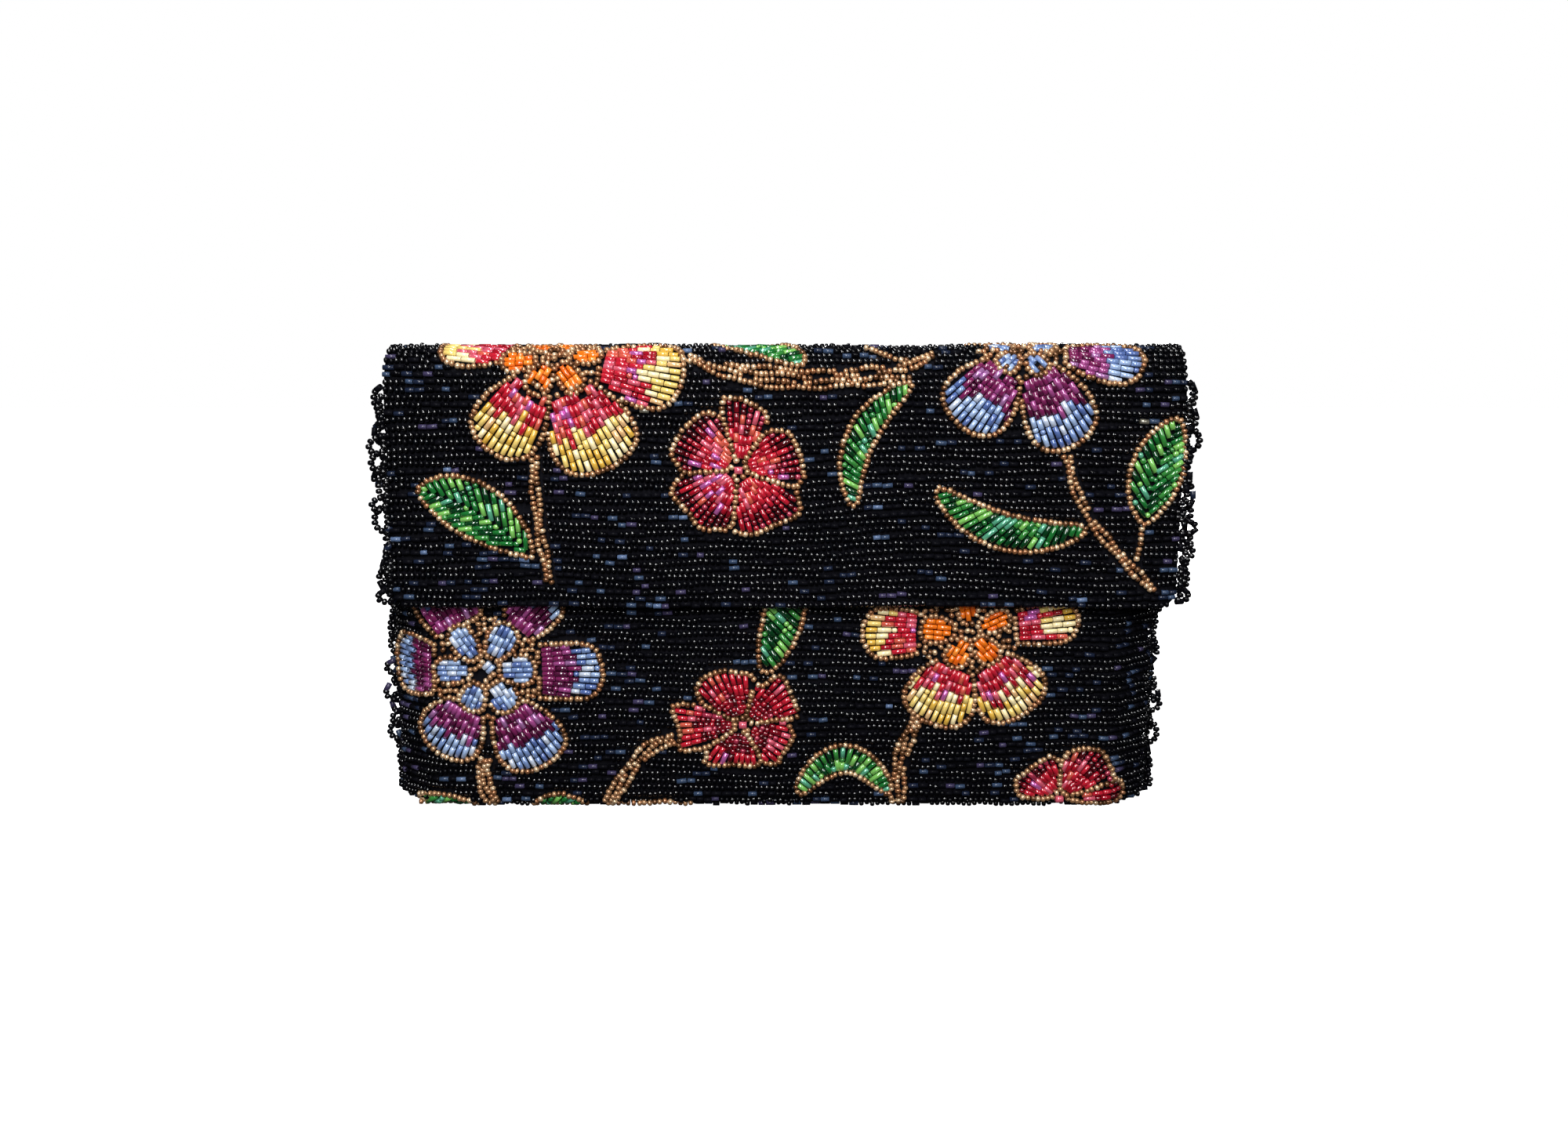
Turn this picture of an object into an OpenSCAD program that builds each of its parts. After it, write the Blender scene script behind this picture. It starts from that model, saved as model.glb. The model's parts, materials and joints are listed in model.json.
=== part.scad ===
// Beaded fold-over clutch: one embroidered cloth makes the front, the base, the back, the fold and
// the flap. Under the beads lie a ground cloth, a fleece interfacing and a satin lining.
// Millimetres. X is the width, Y the depth (the flap faces -Y) and Z is up. The origin is the
// middle of the base, on the surface that the clutch stands on.

/* [Body] */
// Width of the pouch between its side seams
pouch_w = 256; // [200:1:300]
// Depth of the pouch, bead face to bead face
pouch_d = 22; // [18:0.5:40]
// Height at which the back panel turns into the fold
fold_z = 143; // [120:1:180]
// How much lower the mouth of the front panel is than the start of the fold
mouth_drop = 3; // [2:0.5:10]
// How far the front panel's sides slant in from the side seams
side_slant = 13; // [10:1:20]
// Depth of the side seam that stays square to the back
seam_d = 10; // [5:0.5:12]
// Radius of the soft corners along the base
base_r = 4; // [3:0.5:6]

/* [Flap] */
// Width of the flap
flap_w = 258; // [200:1:304]
// Height of the flap's lower edge above the base
flap_edge_z = 70.5; // [55:0.5:90]
// Gap between the flap's lining and the front panel's beads
flap_gap = 0.5; // [0.4:0.1:1]

/* [Layers] */
// Thickness of a row of beads
bead_t = 1.9; // [1.6:0.1:2.2]
// Thickness of the ground cloth
cloth_t = 0.5; // [0.3:0.1:0.6]
// Thickness of the fleece interfacing
fleece_t = 0.8; // [0.6:0.1:1.2]
// Thickness of the satin lining
lining_t = 0.4; // [0.3:0.1:0.5]

/* [Trim] */
// Radius of one bead loop along the side edges
picot_r = 3.6; // [3:0.1:4.2]
// Spacing of the bead loops
picot_pitch = 9.6; // [9:0.1:12]
// Diameter of the magnetic snap
snap_d = 16; // [14:0.5:18]
// Height of the snap's centre above the base
snap_z = 86; // [80:0.5:105]
// Width of the slip pocket
pocket_w = 120; // [80:1:160]
// Height of the slip pocket
pocket_h = 72; // [50:1:80]

/* [Hidden] */
$fn = 48;
folds = 4;                                    // strips that the fold is divided into
shell_t = bead_t + cloth_t + fleece_t + lining_t;
depth = pouch_d + flap_gap + shell_t;         // whole depth, flap to back
back_y = depth / 2;                           // bead face of the back panel
front_y = back_y - pouch_d;                   // bead face of the front panel
flap_y = -depth / 2;                          // bead face of the flap
fold_r = depth / 2;                           // bead face of the fold, about y = 0, z = fold_z
mouth_z = fold_z - mouth_drop;
slit = 0.3;                                   // gap between two strips of the fold, at the beads
slit_angle = slit / fold_r * 180 / PI;
strip_angle = 180 / folds;
in_cloth = bead_t;                            // depth of each layer below the bead face
in_fleece = in_cloth + cloth_t;
in_lining = in_fleece + fleece_t;
mid_y = (front_y + back_y) / 2;
flat_w = pouch_w - 2 * side_slant;            // width of the front panel's flat part
far = 400;                                    // longer than the clutch in any direction

// Snap: a stud on the flap's lining and a socket sunk in the front panel's beads.
socket_sink = 0.3;
stud_flange_t = 0.4;
stud_pin_r = 2.2;
stud_pin_h = 1.3;
socket_hole_r = 3;
socket_hole_h = 1.4;
snap_play = 0.2;
leg_x = 4.5;
leg = [3, 0.5];
flap_hem = 0.6;

bead_black = [0.06, 0.06, 0.07];
cloth_black = [0.09, 0.09, 0.10];
fleece_white = [0.86, 0.85, 0.82];
satin_black = [0.13, 0.12, 0.14];
orange = [0.92, 0.47, 0.12];
red = [0.78, 0.12, 0.22];
violet = [0.45, 0.20, 0.48];
green = [0.16, 0.55, 0.25];
gold = [0.74, 0.52, 0.30];
nickel = [0.75, 0.75, 0.76];

// The design is drawn flat, as (across, up): up from the base on the front panel, and up from the
// flap's lower edge on the flap. A flower is [centre, petals], and a petal is [direction in degrees,
// where it starts and ends from the centre, width]. The short ones are the ovals round its eye.
flap_orange = [[-74, 82], [[-124, 11, 37, 22], [-65, 12, 40, 26], [-9, 15, 42, 23]]];
flap_violet = [[74, 85], [[-133, 11, 33.5, 23], [-62, 11, 35.5, 22]]];
flap_red = [[-15, 45.5], [[92, 5, 23, 14], [147, 5, 22, 16], [-136, 5, 25, 17], [-53, 5, 24, 16],
    [18, 5, 22, 14]]];
front_violet = [[-96.5, 48.4], [[0, 19, 39, 18], [-63, 16, 38, 24], [-127, 15, 33, 22],
    [118, 19, 34, 20], [48, 19, 34, 16], [125, 5, 17, 8], [61, 5, 17, 9], [2, 5, 17, 9],
    [180, 5, 16, 8], [-115, 5, 14, 8], [-57, 5, 15, 9]]];
front_red = [[-10.4, 30.1], [[108, 4, 19, 14], [39, 4, 20, 14], [189, 4, 21, 14], [253, 4, 17, 12],
    [-36, 4, 19, 12]]];
front_orange = [[65.5, 61.5], [[180, 18, 36, 16], [-124, 14, 36, 22], [-45, 14, 34, 22],
    [1, 16, 36, 12], [175, 5, 16, 8], [-120, 3, 12, 7], [-48, 3, 12, 7], [25, 4, 13, 6]]];
corner_red = [[98.9, 2.8], [[140, 5, 19, 13], [57, 5, 20, 15]]];

// Leaves: each is [start, bend, end, width] of a curved spine. Stems have the same form.
flap_leaf_list = [[[-118, 39.5], [-100, 36.5], [-83, 17.5], 16], [[39, 70.2], [16.5, 58.5], [23, 36.5], 9],
    [[49, 39.5], [69.5, 19.5], [96, 27.5], 10], [[123, 61.5], [116.5, 45], [116, 30], 13]];
front_leaf_list = [[[2.5, 74.5], [1, 59.5], [-3.4, 49.4], 11], [[10.2, 6.5], [24, 28], [37.8, 6.5], 8]];
flap_stem_list = [[[-80, 48.5], [-80.5, 30.5], [-77, 10.5], 3.6], [[89.5, 48.5], [96.5, 32.5], [118, 8.5], 3.6],
    [[115, 26.5], [114.5, 23.5], [114, 16.5], 2]];
front_stem_list = [[[-33.5, 25.2], [-43.8, 24], [-54, 6], 4], [[-97, 18], [-99.5, 12], [-95.5, 6.2], 3.6],
    [[46.5, 31], [41, 22], [42.4, 6], 3.6]];

fold_nodes = [for (i = [1:folds], k = ["beads", "cloth", "lining"]) str("fold_", i, "_", k)];

// Corner i of a closed outline moved inwards by t, with mitred corners. The outline runs clockwise.
function unit(v) = v / norm(v);
function inward(a, b) = let (d = unit(b - a)) [d[1], -d[0]];
function inset(pts, t) = let (n = len(pts)) [for (i = [0:n - 1])
    let (before = inward(pts[(i + n - 1) % n], pts[i]), after = inward(pts[i], pts[(i + 1) % n]))
    pts[i] + t * (before + after) / (1 + before * after)];

// Plan of the pouch, seen from above: a flat back, square side seams and a front with slanted sides.
plan = let (w = pouch_w / 2, f = flat_w / 2, s = back_y - seam_d)
    [[-w, back_y], [w, back_y], [w, s], [f, front_y], [-f, front_y], [-w, s]];

// Side view of the pouch as [y, z], with both corners of the base rounded.
function arc_points(c, r, a0, a1, steps) =
    [for (i = [0:steps]) let (a = a0 + (a1 - a0) * i / steps) c + r * [cos(a), sin(a)]];
function side_view(t) = concat([[back_y - t, far], [back_y - t, base_r]],
    arc_points([back_y - base_r, base_r], base_r - t, 0, -90, 6),
    arc_points([front_y + base_r, base_r], base_r - t, -90, -180, 6), [[front_y + t, far]]);

// Petal and leaf outlines: half the width at a share t of the length.
function petal_half(t, w) = w / 2 * pow(sin(180 * pow(t, 1.6)), 0.7);
function leaf_half(t, w) = w / 2 * pow(sin(180 * pow(t, 0.9)), 0.8);
function at(o, a, u, v) = o + [u * cos(a) - v * sin(a), u * sin(a) + v * cos(a)];
function petal(o, p, steps = 8) =
    let (side = [for (i = [1:steps - 1]) i / steps], reach = p[2] - p[1])
    concat([at(o, p[0], p[1], 0)],
    [for (t = side) at(o, p[0], p[1] + t * reach, petal_half(t, p[3]))], [at(o, p[0], p[2], 0)],
    [for (t = side) at(o, p[0], p[2] - t * reach, -petal_half(1 - t, p[3]))]);
function spine(s, t) = (1 - t) * (1 - t) * s[0] + 2 * t * (1 - t) * s[1] + t * t * s[2];
function across(s, t) = let (d = unit((1 - t) * (s[1] - s[0]) + t * (s[2] - s[1]))) [-d[1], d[0]];
function leaf(s, steps = 10) = let (side = [for (i = [1:steps - 1]) i / steps])
    concat([s[0]], [for (t = side) spine(s, t) + across(s, t) * leaf_half(t, s[3])], [s[2]],
    [for (t = side) spine(s, 1 - t) - across(s, 1 - t) * leaf_half(1 - t, s[3])]);
function ribbon(s, steps = 8) = concat(
    [for (i = [0:steps]) spine(s, i / steps) + across(s, i / steps) * s[3] / 2],
    [for (i = [steps:-1:0]) spine(s, i / steps) - across(s, i / steps) * s[3] / 2]);

// A slab between two depths y0 and y1, from an outline in X and Z.
module upright(y0, y1) { translate([0, y1, 0]) rotate([90, 0, 0]) linear_extrude(y1 - y0) children(); }
module block(x0, x1, y0, y1, z0, z1) {
    translate([x0, y0, z0]) cube([x1 - x0, y1 - y0, z1 - z0]);
}

// ---------- pouch ----------
module pouch_solid(t) {
    intersection() {
        linear_extrude(fold_z - slit / 2) polygon(inset(plan, t));
        translate([-far / 2, 0, 0]) rotate([90, 0, 90]) linear_extrude(far) polygon(side_view(t));
    }
}

// A layer of the pouch from depth t0 to t1 below the beads, open at the top, low at the front.
module pouch_layer(t0, t1, back_edge = shell_t) {
    difference() {
        pouch_solid(t0);
        pouch_solid(t1);
        block(-far, far, -far, back_y - back_edge, mouth_z, far);
    }
}

module snap_hole(r, y0, y1) {
    translate([0, y1, snap_z]) rotate([90, 0, 0]) cylinder(r = r, h = y1 - y0);
}

module snap_legs(y0, y1, play = 0) {
    for (x = [-leg_x, leg_x])
        block(x - leg[0] / 2 - play, x + leg[0] / 2 + play, y0, y1,
            snap_z - leg[1] / 2 - play, snap_z + leg[1] / 2 + play);
}

module petals(flower) { for (p = flower[1]) polygon(petal(flower[0], p)); }
module leaves(list) { for (s = list) polygon(leaf(s)); }
module stems(list) { for (s = list) polygon(ribbon(s)); }

front_beads_y = front_y + bead_t;
module front_pads() {
    intersection() {
        upright(front_y, front_beads_y) children();
        block(1 - flat_w / 2, flat_w / 2 - 1, front_y, front_beads_y, base_r + 0.5, mouth_z - 2);
    }
}
module front_flowers() {
    for (flower = [front_violet, front_red, front_orange, corner_red])
        front_pads() petals(flower);
}

module pouch_front_beads() {
    color(bead_black) difference() {
        block(-flat_w / 2, flat_w / 2, front_y, front_beads_y, base_r, mouth_z);
        snap_hole(snap_d / 2, front_y, front_beads_y);
        front_flowers();
        front_pads() leaves(front_leaf_list);
        front_pads() stems(front_stem_list);
    }
}
module pouch_back_beads() {
    color(bead_black)
        block(-pouch_w / 2, pouch_w / 2, back_y - bead_t, back_y, base_r, fold_z - slit / 2);
}
module pouch_base_beads() {
    color(bead_black) intersection() {
        pouch_layer(0, bead_t);
        block(-far, far, -far, far, 0, base_r);
    }
}
module side_beads(side) {
    color(bead_black) difference() {
        pouch_layer(0, bead_t, bead_t);
        block(-far, far, -far, far, -1, base_r);
        block(-far, far, back_y - bead_t, far, -1, far);
        block(-far, far, -far, far, mouth_z, far);
        block(side > 0 ? -far : -flat_w / 2, side > 0 ? flat_w / 2 : far, -far, far, -1, far);
    }
}
module pouch_left_side_beads() { side_beads(-1); }
module pouch_right_side_beads() { side_beads(1); }
module pouch_ground_cloth() {
    color(cloth_black) difference() {
        pouch_layer(in_cloth, in_fleece);
        snap_legs(front_y, front_y + in_fleece);
    }
}
module pouch_half(t0, t1, back) {
    difference() {
        pouch_layer(t0, t1);
        block(-far, far, back ? -far : mid_y, back ? mid_y : far, -1, far);
    }
}
module pouch_front_interfacing() {
    color(fleece_white) difference() {
        pouch_half(in_fleece, in_lining, false);
        snap_hole(snap_d / 2, front_y + in_fleece, front_y + in_lining);
    }
}
module pouch_back_interfacing() { color(fleece_white) pouch_half(in_fleece, in_lining, true); }
module pouch_front_lining() { color(satin_black) pouch_half(in_lining, shell_t, false); }
module pouch_back_lining() { color(satin_black) pouch_half(in_lining, shell_t, true); }

// A flat pocket whose sides and lower edge are folded back and sewn to the back lining.
pocket_z = 24;
pocket_stand = 1.1;
pocket_seam = 4;
module slip_pocket() {
    back = back_y - shell_t;
    color(satin_black) difference() {
        block(-pocket_w / 2, pocket_w / 2, back - pocket_stand, back, pocket_z, pocket_z + pocket_h);
        block(pocket_seam - pocket_w / 2, pocket_w / 2 - pocket_seam, back - pocket_stand + cloth_t,
            back, pocket_z + pocket_seam, far);
    }
}

// A satin strip over the raw edge of the mouth, turned down on the lining.
binding_t = 0.6;
binding_h = 7;
module mouth_binding() {
    color(satin_black) {
        difference() {
            pouch_solid(shell_t);
            pouch_solid(shell_t + binding_t);
            block(-far, far, -far, far, -1, mouth_z - binding_h);
            block(-far, far, -far, far, mouth_z, far);
            block(-far, far, back_y - shell_t - binding_t, far, -1, far);
        }
        difference() {
            pouch_solid(0);
            pouch_solid(shell_t + binding_t);
            block(-far, far, -far, far, -1, mouth_z);
            block(-far, far, -far, far, mouth_z + binding_t, far);
            block(-far, far, back_y - shell_t - binding_t, far, -1, far);
        }
    }
}

// Loops of beads in a row up a side edge, each a half ring that bulges to one side.
module picots(x, y, z0, z1, side) {
    count = floor((z1 - z0) / picot_pitch);
    first = (z0 + z1 - (count - 1) * picot_pitch) / 2;
    color(bead_black) for (i = [0:count - 1])
        translate([x, y, first + i * picot_pitch]) rotate([90, 0, 0]) rotate(side > 0 ? -90 : 90)
            rotate_extrude(angle = 180) translate([picot_r, 0]) circle(bead_t / 2);
}
module pouch_left_picots() { picots(-pouch_w / 2, back_y - seam_d / 2, 4, fold_z - 6, -1); }
module pouch_right_picots() { picots(pouch_w / 2, back_y - seam_d / 2, 4, fold_z - 6, 1); }

module snap_socket() {
    face = front_y + socket_sink;
    color(nickel) {
        difference() {
            snap_hole(snap_d / 2, face, front_beads_y);
            snap_hole(socket_hole_r, face, face + socket_hole_h);
        }
        snap_legs(front_beads_y, front_y + in_lining);
    }
}
module snap_washer(y0, y1) {
    color(nickel) difference() {
        snap_hole(snap_d / 2, y0, y1);
        snap_legs(y0, y1);
    }
}
module snap_socket_washer() { snap_washer(front_y + in_fleece, front_y + in_lining); }

module front_violet_flower() { color(violet) front_pads() petals(front_violet); }
module front_red_flower() { color(red) front_pads() petals(front_red); }
module front_orange_flower() { color(orange) front_pads() petals(front_orange); }
module front_corner_flower() { color(red) front_pads() petals(corner_red); }
module front_leaves() { color(green) front_pads() leaves(front_leaf_list); }
module front_stems() {
    color(gold) difference() {
        front_pads() stems(front_stem_list);
        front_flowers();
        front_pads() leaves(front_leaf_list);
    }
}

// ---------- fold ----------
// Strip i of the fold, from radius r0 to r1. Strip 1 joins the back and strip 4 joins the flap.
module fold_strip(i, r0, r1) {
    a0 = (i - 1) * strip_angle + slit_angle / 2;
    a1 = i * strip_angle - slit_angle / 2;
    intersection() {
        translate([-flap_w / 2, 0, fold_z]) rotate([90, 0, 90]) difference() {
            cylinder(r = r1, h = flap_w);
            cylinder(r = r0, h = flap_w);
        }
        translate([-flap_w / 2, 0, fold_z]) rotate([90, 0, 90]) linear_extrude(flap_w)
            polygon([[0, 0], 2 * fold_r * [cos(a0), sin(a0)], 2 * fold_r * [cos(a1), sin(a1)]]);
    }
}
module fold_beads(i) { color(bead_black) fold_strip(i, fold_r - in_cloth, fold_r); }
module fold_cloth(i) { color(cloth_black) fold_strip(i, fold_r - in_lining, fold_r - in_cloth); }
module fold_lining(i) { color(satin_black) fold_strip(i, fold_r - shell_t, fold_r - in_lining); }

// ---------- flap ----------
flap_top = fold_z - slit / 2;
flap_corner = 6;
module flap_outline(hem) {
    w = flap_w / 2 - hem;
    z = flap_edge_z + hem;
    r = flap_corner - hem;
    polygon(concat([[w, flap_top]], arc_points([w - r, z + r], r, 0, -90, 5),
        arc_points([r - w, z + r], r, -90, -180, 5), [[-w, flap_top]]));
}
module flap_layer(t0, t1, hem = 0) { upright(flap_y + t0, flap_y + t1) flap_outline(hem); }
module flap_pads() {
    intersection() {
        upright(flap_y, flap_y + bead_t) translate([0, flap_edge_z]) children();
        flap_layer(0, bead_t, 1);
        block(-far, far, flap_y, flap_y + bead_t, 0, flap_top - 0.5);
    }
}
module flap_flowers() {
    for (flower = [flap_orange, flap_red, flap_violet])
        flap_pads() petals(flower);
}
module flap_beads() {
    color(bead_black) difference() {
        flap_layer(0, bead_t);
        flap_flowers();
        flap_pads() leaves(flap_leaf_list);
        flap_pads() stems(flap_stem_list);
    }
}
// The cloth's edges turn back round the fleece and the lining.
module flap_ground_cloth() {
    color(cloth_black) difference() {
        flap_layer(in_cloth, shell_t);
        flap_layer(in_fleece, shell_t, flap_hem);
    }
}
module flap_interfacing() {
    color(fleece_white) difference() {
        flap_layer(in_fleece, in_lining, flap_hem);
        snap_hole(snap_d / 2, flap_y + in_fleece, flap_y + in_lining);
    }
}
module flap_lining() {
    color(satin_black) difference() {
        flap_layer(in_lining, shell_t, flap_hem);
        snap_legs(flap_y + in_lining, flap_y + shell_t);
    }
}
module flap_left_picots() {
    picots(-flap_w / 2, flap_y + bead_t / 2, flap_edge_z + flap_corner, flap_top, -1);
}
module flap_right_picots() {
    picots(flap_w / 2, flap_y + bead_t / 2, flap_edge_z + flap_corner, flap_top, 1);
}
module snap_stud() {
    face = flap_y + shell_t;
    color(nickel) {
        snap_hole(snap_d / 2 - snap_play, face, face + stud_flange_t);
        snap_hole(stud_pin_r, face + stud_flange_t, face + stud_flange_t + stud_pin_h);
        snap_legs(flap_y + in_fleece, face);
    }
}
module snap_stud_washer() { snap_washer(flap_y + in_fleece, flap_y + in_lining); }
module flap_orange_flower() { color(orange) flap_pads() petals(flap_orange); }
module flap_red_flower() { color(red) flap_pads() petals(flap_red); }
module flap_violet_flower() { color(violet) flap_pads() petals(flap_violet); }
module flap_leaves() { color(green) flap_pads() leaves(flap_leaf_list); }
module flap_stems() {
    color(gold) difference() {
        flap_pads() stems(flap_stem_list);
        flap_flowers();
        flap_pads() leaves(flap_leaf_list);
    }
}

pouch_front_beads();
pouch_back_beads();
pouch_base_beads();
pouch_left_side_beads();
pouch_right_side_beads();
pouch_ground_cloth();
pouch_front_interfacing();
pouch_back_interfacing();
pouch_front_lining();
pouch_back_lining();
slip_pocket();
mouth_binding();
pouch_left_picots();
pouch_right_picots();
snap_socket();
snap_socket_washer();
front_violet_flower();
front_red_flower();
front_orange_flower();
front_corner_flower();
front_leaves();
front_stems();
for (i = [1:folds]) {
    fold_beads(i);
    fold_cloth(i);
    fold_lining(i);
}
flap_beads();
flap_ground_cloth();
flap_interfacing();
flap_lining();
flap_left_picots();
flap_right_picots();
snap_stud();
snap_stud_washer();
flap_orange_flower();
flap_red_flower();
flap_violet_flower();
flap_leaves();
flap_stems();
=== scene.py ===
"""Looks of the beaded fold-over clutch: every bead is a small mesh on one continuous cloth.

Lengths in this script are in millimetres and are turned to metres where a mesh is made. The cloth is
measured along s, from the mouth of the front panel down to the base, under it, up the back, over the
fold and down the flap, and across by u, from the middle. The design is drawn flat, as (across, up): up is
from the base on the front panel, and from the flap's lower edge on the flap and over the fold.
"""

import json
import math
from collections import namedtuple
from functools import cache

import bpy
import numpy as np
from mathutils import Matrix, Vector

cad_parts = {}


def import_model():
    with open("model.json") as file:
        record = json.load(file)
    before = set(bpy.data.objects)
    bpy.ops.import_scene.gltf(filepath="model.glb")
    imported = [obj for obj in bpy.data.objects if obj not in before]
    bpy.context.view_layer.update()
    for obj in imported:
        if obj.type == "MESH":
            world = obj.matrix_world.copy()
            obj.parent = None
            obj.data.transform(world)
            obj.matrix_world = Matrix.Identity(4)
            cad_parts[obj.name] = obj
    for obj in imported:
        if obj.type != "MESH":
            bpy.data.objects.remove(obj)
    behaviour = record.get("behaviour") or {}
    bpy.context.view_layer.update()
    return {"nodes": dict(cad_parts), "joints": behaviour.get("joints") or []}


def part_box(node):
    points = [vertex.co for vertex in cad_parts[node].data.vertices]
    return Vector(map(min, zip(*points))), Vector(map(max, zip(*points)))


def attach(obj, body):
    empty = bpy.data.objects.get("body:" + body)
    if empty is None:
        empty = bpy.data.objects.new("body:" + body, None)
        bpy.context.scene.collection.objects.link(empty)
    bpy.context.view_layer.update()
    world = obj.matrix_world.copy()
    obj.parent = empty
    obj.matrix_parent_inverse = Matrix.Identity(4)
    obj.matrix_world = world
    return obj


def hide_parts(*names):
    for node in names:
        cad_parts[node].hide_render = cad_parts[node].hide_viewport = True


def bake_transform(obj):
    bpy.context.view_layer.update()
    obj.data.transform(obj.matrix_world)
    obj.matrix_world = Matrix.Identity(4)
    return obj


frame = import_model()
MM = 0.001
rng = np.random.default_rng(11)


# ---------- sizes, from the frame ----------
def node_box(node):
    low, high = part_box(node)
    return np.array(low) / MM, np.array(high) / MM


front_low, front_high = node_box("pouch_front_beads")
back_low, back_high = node_box("pouch_back_beads")
flap_low, flap_high = node_box("flap_beads")
socket_low, socket_high = node_box("snap_socket")
BEAD_T = back_high[1] - back_low[1]
SEAT = BEAD_T / 2  # depth of the bead centres below the bead face
FRONT_Y = front_low[1]
BACK_Y = back_high[1]
FLAP_Y = flap_low[1]
BASE_R = front_low[2]
MOUTH_Z = front_high[2]
FOLD_R = BACK_Y
FOLD_Z = max(frame_joint["pos_m"][2] for frame_joint in frame["joints"]) / MM - FOLD_R
FLAP_EDGE = flap_low[2]
FRONT_HALF = front_high[0]
BACK_HALF = back_high[0]
BODY_HALF = BACK_HALF + 2.5  # the bead edges stand proud of the cloth's edge
FLAP_HALF = flap_high[0]
SNAP_Z = (socket_low[2] + socket_high[2]) / 2
SEAM_Y = BACK_Y - 10.0
STRIPS = 4
FLAP_CORNER = 6.0

# Lengths along the cloth, at the bead centres.
corner_len = (BASE_R - SEAT) * math.pi / 2
LENGTHS = [
    ("front", MOUTH_Z - BASE_R),
    ("front_corner", corner_len),
    ("base", BACK_Y - FRONT_Y - 2 * BASE_R),
    ("back_corner", corner_len),
    ("back", FOLD_Z - BASE_R),
    ("fold", math.pi * (FOLD_R - SEAT)),
    ("flap", FOLD_Z - FLAP_EDGE),
]
START = {}
END = {}
reached = 0.0
for zone, length in LENGTHS:
    START[zone] = reached
    reached += length
    END[zone] = reached
CLOTH_END = reached


# ---------- lines and runs ----------
def unit(vectors, tiny=0.0):
    """Each row of vectors with a length of 1."""
    return vectors / (np.linalg.norm(vectors, axis=1)[:, None] + tiny)


def lengths_along(line):
    """How far along the line each of its points lies."""
    return np.concatenate([[0], np.cumsum(np.linalg.norm(np.diff(line, axis=0), axis=1))])


def smoothed(values, window):
    """The values averaged over a window, and run on straight past both ends, so that the ends stay put."""
    half = len(window) // 2
    before = 2 * values[0] - values[half:0:-1]
    after = 2 * values[-1] - values[-2:-half - 2:-1]
    return np.convolve(np.concatenate([before, values, after]), window, "valid")


def runs_of(mask):
    """Where each unbroken run of True begins, and where it has ended."""
    edges = np.flatnonzero(np.diff(np.concatenate([[0], mask.astype(int), [0]])))
    return list(zip(edges[::2], edges[1::2]))


# ---------- the cloth ----------
def plan_path():
    """The front panel seen from above, from one side seam round to the other, as x, y and normal by u."""
    w, f = BODY_HALF, FRONT_HALF
    corners = np.array([(-w, BACK_Y - 1.5), (-w, SEAM_Y), (-f, FRONT_Y), (f, FRONT_Y),
                        (w, SEAM_Y), (w, BACK_Y - 1.5)])
    d = unit(np.diff(corners, axis=0))
    out = np.stack([d[:, 1], -d[:, 0]], axis=1)
    joint = np.array([out[0]] + [(a + b) / (1 + a @ b) for a, b in zip(out, out[1:])] + [out[-1]])
    line = corners - SEAT * joint
    along = lengths_along(line)
    u = np.arange(0, along[-1], 0.25)
    x, y = np.interp(u, along, line[:, 0]), np.interp(u, along, line[:, 1])
    window = np.hanning(33)
    window /= window.sum()
    x, y = smoothed(x, window), smoothed(y, window)
    tx, ty = np.gradient(x), np.gradient(y)
    size = np.hypot(tx, ty)
    return u - along[-1] / 2, x, y, ty / size, -tx / size


PLAN_U, PLAN_X, PLAN_Y, PLAN_NX, PLAN_NY = plan_path()


def ripple(a, b, seed):
    """A smooth, irregular wave between about -1 and 1."""
    return (np.sin(a / 23 + b / 31 + seed) + 0.7 * np.sin(a / 11.3 - b / 17 + 2.1 * seed)
            + 0.5 * np.sin(a / 37 + b / 9.1 + 3.7 * seed)) / 2.2


def swell(x, z, height, reach):
    """How far a panel bellies out: most in its middle, and not at all at its edges."""
    side = np.clip(1 - (x / reach) ** 2, 0, 1)
    up = np.sin(math.pi * np.clip(z / FOLD_Z, 0, 1)) ** 0.8
    return height * side * up


def snap_pull(x, z):
    return 1 - np.exp(-(x / 26) ** 2 - ((z - SNAP_Z) / 17) ** 2)


def drift(z):
    """How far the clutch has slipped sideways at a height: its flap lies a little to the right."""
    t = np.clip((z - 0.42 * FOLD_Z) / (0.5 * FOLD_Z), 0, 1)
    return -1.7 + 3.7 * t * t * (3 - 2 * t)


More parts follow.
